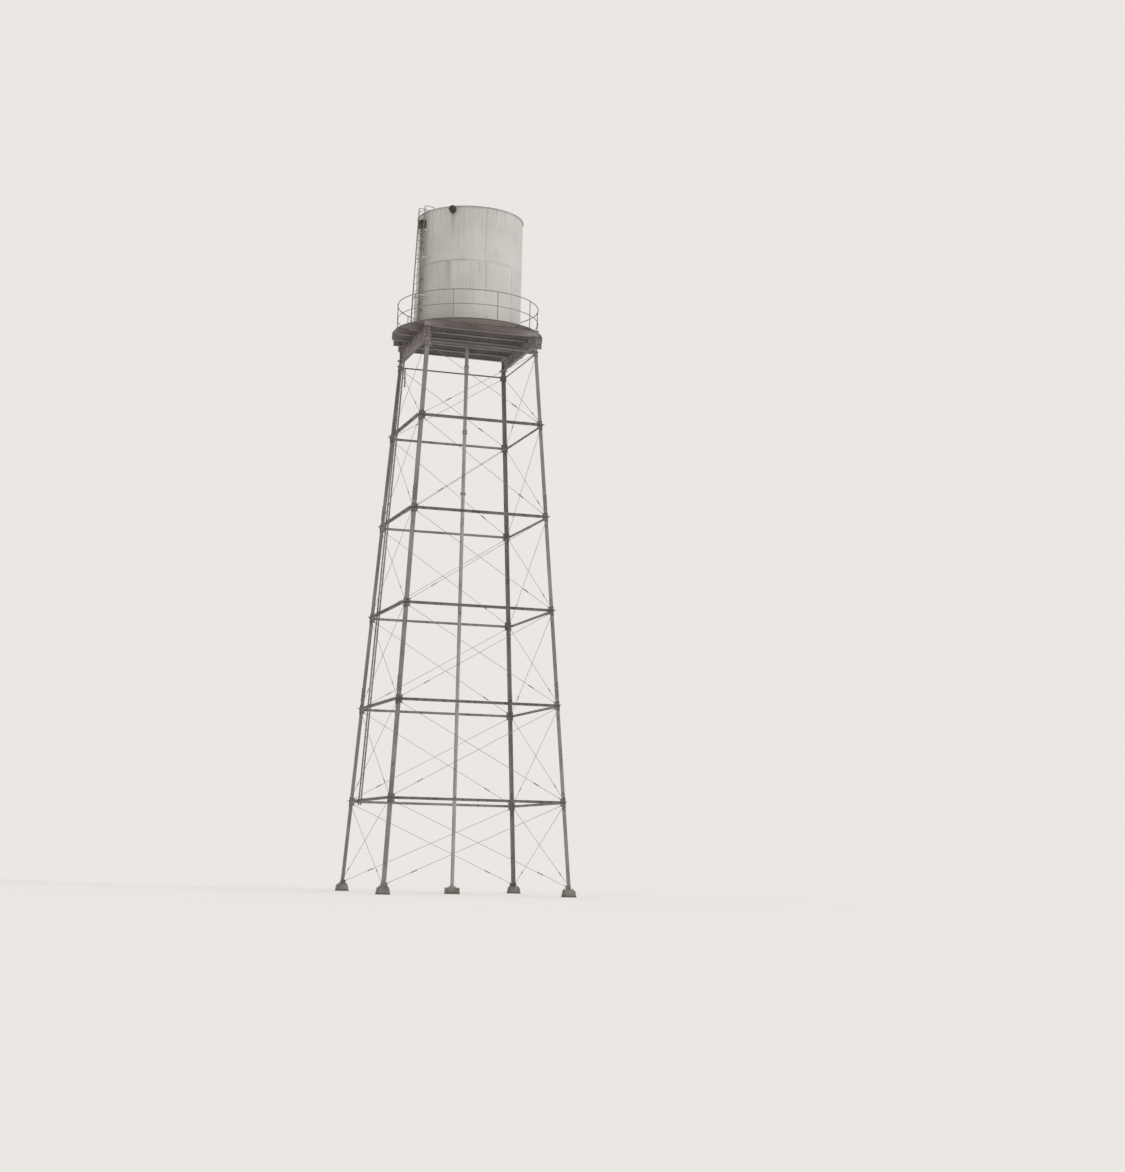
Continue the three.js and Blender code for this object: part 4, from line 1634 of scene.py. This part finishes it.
@dataclass
class Riser(Assembly):
    """The supply pipe on the centre line, with flanged couplings."""

    radius: float = 0.075
    bore: float = 0.060
    foot_radius: float = 0.150
    foot: float = 0.2503
    top: float = TOWER.deck_top
    foot_bolts: int = 6
    foot_bolt: float = 0.018
    foot_bolt_ring: float = 0.122
    # Level of the middle, height and radius of each coupling
    couplings: Tuple[Row, ...] = (
        (16.050, 0.070, 0.120), (18.605, 0.110, 0.112), (21.180, 0.340, 0.118),
    )
    coupling_bolt: float = 0.014
    coupling_bolts: int = 8
    flange: float = 0.024
    sleeve: float = 0.014
    sides: int = 32

    def coupling(self, forge: Forge, bolts: Forge, level: float, height: float, radius: float) -> None:
        """A pair of flanges on a sleeve, with bolts right round.

        Args:
            forge: Where the iron goes.
            bolts: Where the bolts go.
            level: Level of its middle.
            height: Its height.
            radius: Radius of its flanges.
        """
        low, high = level - height / 2, level + height / 2
        flange = min(self.flange, height * 0.3)
        inner, sleeve, edge = self.radius - 0.002, self.radius + self.sleeve, 0.002
        for bottom in (low, high - flange):
            top = bottom + flange
            forge.hoop([
                (inner, bottom), (radius - edge, bottom), (radius, bottom + edge),
                (radius, top - edge), (radius - edge, top), (inner, top),
            ], self.sides)
        seat = flange - 0.003
        forge.hoop(rectangle((inner + 0.001, low + seat), (sleeve, high - seat)), self.sides)
        for angle in around(self.coupling_bolts, 22.5):
            x, y, _ = spoke(angle)((radius + sleeve) / 2, 0, 0)
            bolts.bolt(Seat.facing((x, y, high)), self.coupling_bolt, washer=False, stub=0.006)
            bolts.bolt(Seat.facing((x, y, low), DOWN), self.coupling_bolt, washer=False)

    def build(self) -> None:
        """Makes the pipe, its foot and its couplings."""
        forge, bolts = Forge(), Forge()
        r, foot, wide = self.radius, self.foot, self.foot_radius
        forge.hoop([
            (self.bore, foot), (wide, foot), (wide, foot + 0.022), (wide - 0.003, foot + 0.025),
            (r + 0.012, foot + 0.027), (r, foot + 0.045), (r, self.top), (self.bore, self.top),
        ], self.sides)
        for level, height, radius in self.couplings:
            self.coupling(forge, bolts, level, height, radius)
        for angle in around(self.foot_bolts):
            at = spoke(angle)(self.foot_bolt_ring, 0, foot + 0.025)
            bolts.bolt(Seat.facing(at), self.foot_bolt, stub=0.020)
        self.deliver("riser_run", forge, Finish.RISER, "riser_pipe")
        self.deliver("riser_bolts", bolts, Finish.FASTENERS)


@dataclass
class Overflow(Assembly):
    """The overflow box on the tank's wall and its downpipe, held by straps."""

    angle: float = -166.5
    half: float = 0.150
    low: float = 26.780
    high: float = 27.120
    wall: float = 2.154
    lower_wall: float = 2.164
    reach: float = 2.340
    lip: float = 0.006
    lid: float = 0.014
    corner: float = 0.020
    bolt: float = 0.014
    bolt_columns: Row = (-0.110, 0.0, 0.110)
    bolt_inset: float = 0.050
    pipe_radius: float = 0.050
    pipe_out: float = 2.268
    pipe_low: float = 22.760
    spout: float = 0.050
    bend: float = 0.100
    # The socket at the pipe's head, as radius and rise from the box's foot
    socket: Spots = ((0.062, -0.050), (0.064, -0.046), (0.064, 0.0), (0.062, 0.004))
    straps: Row = (23.35, 24.65, 25.90)
    strap_radius: float = 0.058
    strap_height: float = 0.040
    strap_half: float = 0.004

    def plate(self, reach: float, half: float) -> Outline:
        """Outline of a box or lid against the wall, with its outer corners rounded."""
        wall, r = self.wall, self.corner
        return rounded([(wall, -half, 0), (reach, -half, r), (reach, half, r), (wall, half, 0)])

    def box(self, place: Placer) -> Forge:
        """The box with its lid, foot and bolts.

        Args:
            place: Takes the distance out, the distance across and the level.

        Returns:
            A forge that holds it.
        """
        forge = Forge()
        half, low, high, face = self.half, self.low, self.high, self.reach - 0.010
        forge.prism(self.plate(face, half), low + 0.010, high - 0.012, place, 0.004)
        lid = self.plate(self.reach, half + self.lip)
        forge.prism(lid, high - self.lid, high, place, HEAVY_EDGE)
        forge.prism(lid, low, low + 0.012, place, HEAVY_EDGE)
        for across, level in product(self.bolt_columns, (low + self.bolt_inset, high - self.bolt_inset)):
            forge.bolt(Seat.outward(self.angle, face - 0.001, across, level), self.bolt)
        return forge

    def build(self) -> None:
        """Makes the box, the pipe and the straps."""
        pipe, place = Forge(), spoke(self.angle)
        out, bend, wide = self.pipe_out, self.bend, self.strap_radius
        elbow = arc((out + bend, self.pipe_low + bend + self.spout), bend, 180, 255, 8)
        path = [(out, self.low + 0.004)] + elbow
        pipe.tube([place(far, 0, level) for far, level in path], self.pipe_radius, 20)
        pipe.spindle(self.socket, 20, Seat.facing(place(out, 0, self.low)))
        for level in self.straps:
            wall, top = self.wall if level > Tank.seam else self.lower_wall, level + self.strap_height
            for side in SIDES:
                inside = side * (wide - 2 * self.strap_half)
                pipe.bar((wall, inside, level), (out, side * wide, top), place)
            pipe.prism(half_band((out, 0), self.pipe_radius, wide, -90), level, top, place)
        self.deliver("overflow_box", self.box(place), Finish.FITTINGS, "overflow")
        self.deliver("overflow_pipe", pipe, Finish.PIPEWORK)


@dataclass
class HangingStub(Assembly):
    """The short pipe end that hangs from the back strut of the head ring, held by a strap."""

    x: float = -2.012
    out: float = 0.124
    radius: float = 0.026
    low: float = 20.830
    ring_lows: Row = (20.826, 21.190)
    # The profile of a ring, as its reach out of the strap and its rise
    ring: Spots = ((0.0, 0.0), (0.003, 0.004), (0.003, 0.056), (0.0, 0.060))
    strap: float = 0.006
    strap_ear: float = 0.035
    strap_rise: Spot = (-0.030, 0.015)
    bolt: float = 0.010

    def build(self) -> None:
        """Makes the pipe with its rings and the strap."""
        forge, bolts = Forge(), Forge()
        level, strut = TOWER.head_level, Struts(self.yard)
        x, y, r, outer = self.x, TOWER.half_at(level) + self.out, self.radius, self.radius + self.strap
        top = level + strut.head_size / 2 - strut.head_thick
        forge.tube([(x, y, self.low), (x, y, top)], r, 20)
        for bottom in self.ring_lows:
            profile = [(outer + reach, rise) for reach, rise in self.ring]
            forge.spindle(profile, 20, Seat.facing((x, y, bottom)))
        low, high = (level + rise for rise in self.strap_rise)
        back = TOWER.half_at(level) + strut.back(strut.head_size) + strut.head_thick
        for side in SIDES:
            near, far = x + side * r, x + side * (r + self.strap_ear)
            forge.bar((near, back, low), (far, back + self.strap, high), as_drawn)
            at = ((near + far) / 2, back + self.strap, (low + high) / 2)
            bolts.bolt(Seat.facing(at, (0, 1, 0)), self.bolt)
        forge.prism(half_band((x, y), r, outer, 0), low, high, as_drawn)
        self.deliver("stub_pipe", forge, Finish.STRUCTURE)
        self.deliver("stub_bolts", bolts, Finish.FASTENERS)


@dataclass
class GaugeHead(Assembly):
    """The round sheave housing on the rim, on its bracket."""

    angle: float = -124.1
    radius: float = 0.150
    level: float = 27.305
    inner: float = 2.203
    depth: float = 0.170
    wall: float = 2.152
    bolt: float = 0.012
    back_thick: float = 0.009
    back_half: float = 0.048
    back_rise: Spot = (-0.150, 0.090)
    back_bolt_half: float = 0.020
    back_bolt_rise: Spot = (-0.120, 0.075)
    # The housing's profile, as shares of its radius and depth
    profile: Spots = (
        (0.90, 0.0), (0.94, 0.0235), (0.94, 0.22), (1.0, 0.24), (1.0, 0.40), (0.94, 0.42), (0.94, 0.74),
        (0.90, 0.84), (0.76, 0.91), (0.40, 0.94), (0.34, 0.95), (0.30, 1.0), (0.16, 1.0),
    )
    cover_bolts: Spot = (0.62, 0.925)
    # Corners of the bracket's side plates, as distance from the wall and rise
    bracket: Spots = ((0.0, -0.150), (0.020, -0.150), (0.081, -0.100), (0.081, 0.060), (0.0, 0.095))
    bracket_sides: Spot = (-0.045, 0.033)
    bracket_thick: float = 0.012

    def build(self) -> None:
        """Makes the housing, its cover and the bracket."""
        forge = Forge()
        r, d, wall, level = self.radius, self.depth, self.wall, self.level
        seat = Seat.outward(self.angle, self.inner, 0, level)
        forge.spindle([(share * r, out * d) for share, out in self.profile], 40, seat)
        bolt_ring, bolt_out = self.cover_bolts
        for x, y in arc((0, 0), r * bolt_ring, 30, 330, 5):
            forge.bolt(Seat.facing(seat(x, y, d * bolt_out), seat.out), self.bolt, washer=False)
        place = spoke(self.angle)
        outline = [(wall + reach, level + rise) for reach, rise in self.bracket]
        for across in self.bracket_sides:
            forge.prism(outline, across, across + self.bracket_thick, on_edge(place), EDGE)
        back, half, (low, high) = wall + self.back_thick, self.back_half, self.back_rise
        forge.bar((wall, -half, level + low), (back, half, level + high), place)
        for side, rise in product(SIDES, self.back_bolt_rise):
            seat = Seat.outward(self.angle, back, side * self.back_bolt_half, level + rise)
            forge.bolt(seat, self.bolt)
        self.deliver("gauge_housing", forge, Finish.FITTINGS, "gauge_head")


@dataclass
class Ladder(Assembly):
    """What both ladders share: flat stiles, and round rungs riveted over at their ends."""

    thick: float = 0.012
    first_rise: float = 0.250
    pitch: float = 0.305
    rung: float = 0.010
    rung_head: float = 0.014
    past: float = 0.002

    def rungs(self, forge: Forge, half: float, bottom: float, top: float, place: Rail) -> None:
        """Adds the rungs, each with two rivet heads.

        Args:
            forge: Where they go.
            half: Half the ladder's width.
            bottom: Level of the stiles' feet.
            top: Level that no rung goes over.
            place: Takes the distance from the ladder's middle and the level.
        """
        level = bottom + self.first_rise
        while level <= top:
            left, right = (place(side * (half + self.past), level) for side in SIDES)
            forge.tube([left, right], self.rung, 12)
            across = Vector(right) - Vector(left)
            for side in SIDES:
                forge.rivet(Seat.facing(place(side * half, level), across * side), self.rung_head)
            level += self.pitch


@dataclass
class TowerLadder(Ladder):
    """The ladder up the left face, bolted to the struts."""

    offset: float = 0.850
    width: float = 0.412
    depth: float = 0.060
    inner: float = 0.19428
    bottom: float = 3.400
    top: float = 22.430
    headroom: float = 0.030
    bolt: float = 0.014
    # How far out the cleats start on the struts, the head strut and the girder
    rests: Row = (0.110, 0.098, 0.025)
    cleat_foot: float = 0.065
    cleat_thick: float = 0.008
    cleat_height: float = 0.075
    # How far inside the stile's edges a cleat ends, and where its bolts are
    cleat_ends: Spot = (0.004, 0.012)
    cleat_foot_bolt: Spot = (0.034, 0.030)
    cleat_bolt_rise: float = 0.045

    def cleat(self, cleats: Forge, side: int, top: float, reach: float) -> None:
        """One angle cleat that holds a stile to a strut or girder.

        Args:
            cleats: Where it goes.
            side: -1 or 1, the stile that it holds.
            top: Level of the face that it stands on.
            reach: How far out it starts.
        """
        place, thick, (across, out) = TOWER.face(LEFT), side * self.cleat_thick, self.cleat_foot_bolt
        start, end = self.inner + self.cleat_ends[0], self.inner + self.depth - self.cleat_ends[1]
        edge, foot = side * (self.width / 2 - self.thick) - self.offset, top + BED
        head = foot + self.cleat_thick
        cleats.bar((edge, reach, foot), (edge - side * self.cleat_foot, end, head), place)
        cleats.bar((edge, start, head), (edge - thick, end, top + self.cleat_height), place)
        at = place(edge - side * across, reach + out, head)
        cleats.bolt(Seat.facing(at), self.bolt)
        at = place(edge - thick, self.inner + self.depth / 2, top + self.cleat_bolt_rise)
        cleats.bolt(Seat.facing(at, quarter(LEFT, (-side, 0, 0))), self.bolt)

    def build(self) -> None:
        """Makes the stiles, the rungs and the cleats."""
        forge, cleats = Forge(), Forge()
        place = TOWER.face(LEFT)
        half, outer, middle = self.width / 2, self.inner + self.depth, self.inner + self.depth / 2
        for side in SIDES:
            edge, back = side * half - self.offset, side * (half - self.thick) - self.offset
            forge.bar((edge, self.inner, self.bottom), (back, outer, self.top), place, HEAVY_EDGE)
        self.rungs(
            forge, half, self.bottom, self.top - self.headroom,
            lambda across, level: place(across - self.offset, middle, level),
        )
        on_strut, on_head, on_girder = self.rests
        rests = [(level + Struts.size / 2, on_strut) for level in TOWER.levels[:-1]]
        rests.append((TOWER.head_level + Struts.head_size / 2, on_head))
        rests.append((TOWER.girder_base + Platform.girder.flange, on_girder))
        for (top, reach), side in product(rests, SIDES):
            self.cleat(cleats, side, top, reach)
        self.deliver("tower_ladder_bars", forge, Finish.STRUCTURE, "tower_ladder")
        self.deliver("tower_ladder_cleats", cleats, Finish.STRUCTURE)


@dataclass
class TankLadder(Ladder):
    """The ladder from the walkway over the rim, with hand grips down to the roof."""

    angle: float = -160.0
    width: float = 0.440
    depth: float = 0.050
    foot: float = 2.635
    head: float = 2.395
    floor: float = Tank.floor_low
    top: float = Tank.top
    horn: float = 0.060
    grip_top: float = 27.605
    grip_end: float = 1.960
    grip_radius: float = 0.015
    grip_bend: float = 0.055
    # The profile of the flange under a grip's end
    grip_foot: Spots = ((0.034, -0.004), (0.034, 0.006), (0.030, 0.009))
    stays: Row = (23.85, 25.45, 26.60)
    stay_thick: float = 0.008
    stay_half: float = 0.025
    lower_wall: float = 2.1645
    upper_wall: float = 2.153
    pad_inset: float = 0.045
    pad_half: Spot = (0.040, 0.035)
    pad_thick: float = 0.012
    pad_bolt: float = 0.012
    pad_bolt_at: Spot = (0.022, 0.020)
    shoe_reach: Spot = (0.048, 0.062)
    shoe_rise: float = 0.070
    foot_bolt: float = 0.014
    foot_bolt_at: Spot = (0.025, 0.040)

    def inner_at(self, level: float) -> float:
        """Distance from the centre line to the stiles' inner edge at a level."""
        return self.foot - (self.foot - self.head) * (level - self.floor) / (self.top - self.floor)

    def stile(self, forge: Forge, side: int) -> None:
        """One stile, with the grip that goes on from it over the rim.

        Args:
            forge: Where it goes.
            side: -1 or 1.
        """
        place = spoke(self.angle)
        low, high = sorted((side * self.width / 2, side * (self.width / 2 - self.thick)))
        horn = rectangle((self.head, self.top), (self.head + self.depth, self.top + self.horn))
        outline = [(self.foot, self.floor), (self.foot + self.depth, self.floor)] + horn[1:] + horn[:1]
        forge.prism(outline, low, high, on_edge(place), HEAVY_EDGE)
        across, start, bend = (low + high) / 2, self.head + self.depth / 2, self.grip_bend
        level, roof = self.grip_top - bend, Tank(self.yard).roof_at(self.grip_end)
        path = [(start, self.top - 0.02)] + arc((start - bend, level), bend, 0, 90, 6)
        path += arc((self.grip_end + bend, level), bend, 90, 180, 6) + [(self.grip_end, roof + 0.004)]
        forge.tube([place(out, across, height) for out, height in path], self.grip_radius, 14)
        forge.spindle(self.grip_foot, 20, Seat.facing(place(self.grip_end, across, roof + BED)))

    def stay(self, stays: Forge, side: int, level: float) -> None:
        """One flat that holds a stile off the wall, with its pad and bolts.

        Args:
            stays: Where it goes.
            side: -1 or 1, the stile that it holds.
            level: Its height above the ground.
        """
        place, half = spoke(self.angle), self.width / 2
        wall = self.lower_wall if level < Tank.seam else self.upper_wall
        reach = math.sqrt(wall ** 2 - (half - 0.018) ** 2)
        near = side * (half - self.thick)
        far, high = near - side * self.stay_thick, self.stay_half
        end = self.inner_at(level) + self.depth * 0.7
        stays.bar((reach - 0.001, near, level - high), (end, far, level + high), place)
        (wide, high), (shift, rise) = self.pad_half, self.pad_bolt_at
        pad, face = side * (half - self.pad_inset), reach + self.pad_thick
        stays.bar((reach - 0.004, pad - wide, level - high), (face, pad + wide, level + high), place)
        for end in SIDES:
            seat = Seat.outward(self.angle, face, pad - side * shift, level + end * rise)
            stays.bolt(seat, self.pad_bolt)

    def shoe(self, stays: Forge, side: int) -> None:
        """The angle that bolts the foot of a stile to the deck.

        Args:
            stays: Where it goes.
            side: -1 or 1, the stile that it holds.
        """
        place, half, foot = spoke(self.angle), self.width / 2, self.foot
        floor, top, (out, wide) = self.floor, self.floor + self.stay_thick, self.shoe_reach
        near, far = side * (half + 0.001), side * (half + wide)
        stays.bar((foot + 0.003, near, floor), (foot + out, far, top), place)
        near, far = side * half, side * (half + self.stay_thick)
        stays.bar((foot + 0.002, near, floor), (foot + out - 0.002, far, floor + self.shoe_rise), place)
        out, across = self.foot_bolt_at
        stays.bolt(Seat.facing(place(foot + out, side * (half + across), top)), self.foot_bolt)

    def build(self) -> None:
        """Makes the stiles, rungs, grips, stays and feet."""
        forge, stays = Forge(), Forge()
        place = spoke(self.angle)
        for side in SIDES:
            self.stile(forge, side)
            for level in self.stays:
                self.stay(stays, side, level)
            self.shoe(stays, side)
        self.rungs(
            forge, self.width / 2, self.floor, self.top,
            lambda across, level: place(self.inner_at(level) + self.depth / 2, across, level),
        )
        self.deliver("tank_ladder_bars", forge, Finish.STRUCTURE, "tank_ladder")
        self.deliver("tank_ladder_stays", stays, Finish.UPPER_TANK)


@dataclass
class Handrail(Assembly):
    """The pipe handrail round the walkway."""

    radius: float = 2.880
    top: float = 1.210
    middle: float = 0.620
    rail: float = 0.0185
    light_rail: float = 0.015
    rail_steps: int = 180
    post: float = 0.0185
    posts: int = 10
    first_angle: float = -117.0
    plate: float = 0.060
    plate_thick: float = 0.010
    bolt: float = 0.012
    bolt_reach: float = 0.042

    @property
    def post_profile(self) -> Outline:
        """A post from its socket up, thicker where it takes the rails, as radius and rise."""
        r, t, middle, top = self.post, self.plate_thick, self.middle, self.top
        return [
            (r + 0.012, t * 0.8), (r + 0.012, t + 0.03), (r + 0.004, t + 0.045), (r, t + 0.046),
            (r, middle - 0.04), (r + 0.007, middle - 0.036), (r + 0.009, middle),
            (r + 0.007, middle + 0.036), (r, middle + 0.04), (r, top - 0.045),
            (r + 0.008, top - 0.04), (r + 0.008, top - 0.01), (r + 0.002, top + 0.012),
        ]

    def build(self) -> None:
        """Makes the rails, the posts, their sockets and base plates."""
        forge, bolts = Forge(), Forge()
        base, half, thick = TOWER.deck_top, self.plate, self.plate_thick
        for height, radius in ((self.top, self.rail), (self.middle, self.light_rail)):
            section = [(self.radius + a, base + height + b) for a, b in ring_of(radius, 14)]
            forge.hoop(section, self.rail_steps)
        for angle in around(self.posts, self.first_angle):
            place = spoke(angle)
            seat = Seat.facing(place(self.radius, 0, base + GAP), UP, place(1, 0, 0))
            forge.spindle(self.post_profile, 16, seat)
            forge.bar((-half, -half, 0), (half, half, thick), seat, HEAVY_EDGE)
            for a, b in product(SIDES, SIDES):
                at = seat(a * self.bolt_reach, b * self.bolt_reach, thick)
                bolts.bolt(Seat.facing(at), self.bolt, stub=0.006)
        self.deliver("handrail_pipes", forge, Finish.RAILING, "handrail")
        self.deliver("handrail_bolts", bolts, Finish.FASTENERS)


# Studio


@dataclass
class Studio:
    """A pale floor, soft light and the camera at the photograph's viewing angle."""

    floor_radius: float = 900.0
    floor_sides: int = 96
    floor_roughness: float = 0.9
    floor_colour: Colour = srgb(232, 231, 230)
    sky: Colour = (0.83, 0.80, 0.775, 1.0)
    key_strength: float = 1.0
    key_azimuth: float = -38.0
    key_height: float = 38.0
    key_spread: float = 24.0
    key_distance: float = 60.0
    camera_at: Point = (-20.878, -77.275, 1.263)
    bearing: float = 0.3153
    pitch: float = 0.1380
    roll: float = 0.0207
    lens: float = 61.46
    sensor: float = 36.0
    sight: float = 3000.0

    def floor(self) -> None:
        """Lays the floor."""
        mesh = bpy.data.meshes.new("floor")
        rim = ring_of(self.floor_radius, self.floor_sides)
        mesh.from_pydata([(x, y, 0.0) for x, y in rim], [], [tuple(range(len(rim)))])
        material = bpy.data.materials.new("plain_floor")
        material.use_nodes = True
        surface = material.node_tree.nodes["Principled BSDF"]
        surface.inputs["Base Color"].default_value = self.floor_colour
        surface.inputs["Roughness"].default_value = self.floor_roughness
        mesh.materials.append(material)
        floor = bpy.data.objects.new("floor", mesh)
        bpy.context.scene.collection.objects.link(floor)

    def light(self) -> None:
        """Sets the even sky and one soft key light from the right."""
        world = bpy.data.worlds.new("pale_sky")
        bpy.context.scene.world = world
        world.use_nodes = True
        world.node_tree.nodes["Background"].inputs["Color"].default_value = self.sky
        lamp = bpy.data.lights.new("key", "SUN")
        lamp.energy = self.key_strength
        lamp.angle = math.radians(self.key_spread)
        key = bpy.data.objects.new("key", lamp)
        azimuth, height = math.radians(self.key_azimuth), math.radians(self.key_height)
        toward = Vector((
            math.cos(azimuth) * math.cos(height), math.sin(azimuth) * math.cos(height), math.sin(height)
        ))
        key.rotation_euler = toward.to_track_quat("Z", "Y").to_euler()
        key.location = toward * self.key_distance
        bpy.context.scene.collection.objects.link(key)

    def camera(self) -> None:
        """Puts the camera where the photograph was taken from."""
        data = bpy.data.cameras.new("camera")
        data.lens = self.lens
        data.sensor_width = self.sensor
        data.clip_end = self.sight
        camera = bpy.data.objects.new("camera", data)
        forward = Vector((
            math.sin(self.bearing) * math.cos(self.pitch),
            math.cos(self.bearing) * math.cos(self.pitch),
            math.sin(self.pitch),
        ))
        level = forward.cross(Vector(UP)).normalized()
        across = level * math.cos(self.roll) + level.cross(forward) * math.sin(self.roll)
        turn = Matrix((across, across.cross(forward), -forward)).transposed()
        camera.matrix_world = Matrix.Translation(self.camera_at) @ turn.to_4x4()
        bpy.context.scene.collection.objects.link(camera)
        bpy.context.scene.camera = camera

    def build(self) -> None:
        """Makes the studio."""
        bpy.context.scene.view_settings.view_transform = "Standard"
        self.floor()
        self.light()
        self.camera()


def main() -> None:
    """Builds every sub-assembly in order."""
    Studio().build()
    yard = Yard()
    yard.stock()
    for kind in (
        Footings, Legs, Struts, Rods, Platform, Tank, Riser, Overflow, GaugeHead, HangingStub,
        TowerLadder, Handrail, TankLadder,
    ):
        log.info("building %s", kind.__name__)
        kind(yard).build()
    log.info("%d pieces", yard.count)


if __name__ == "__main__":
    main()
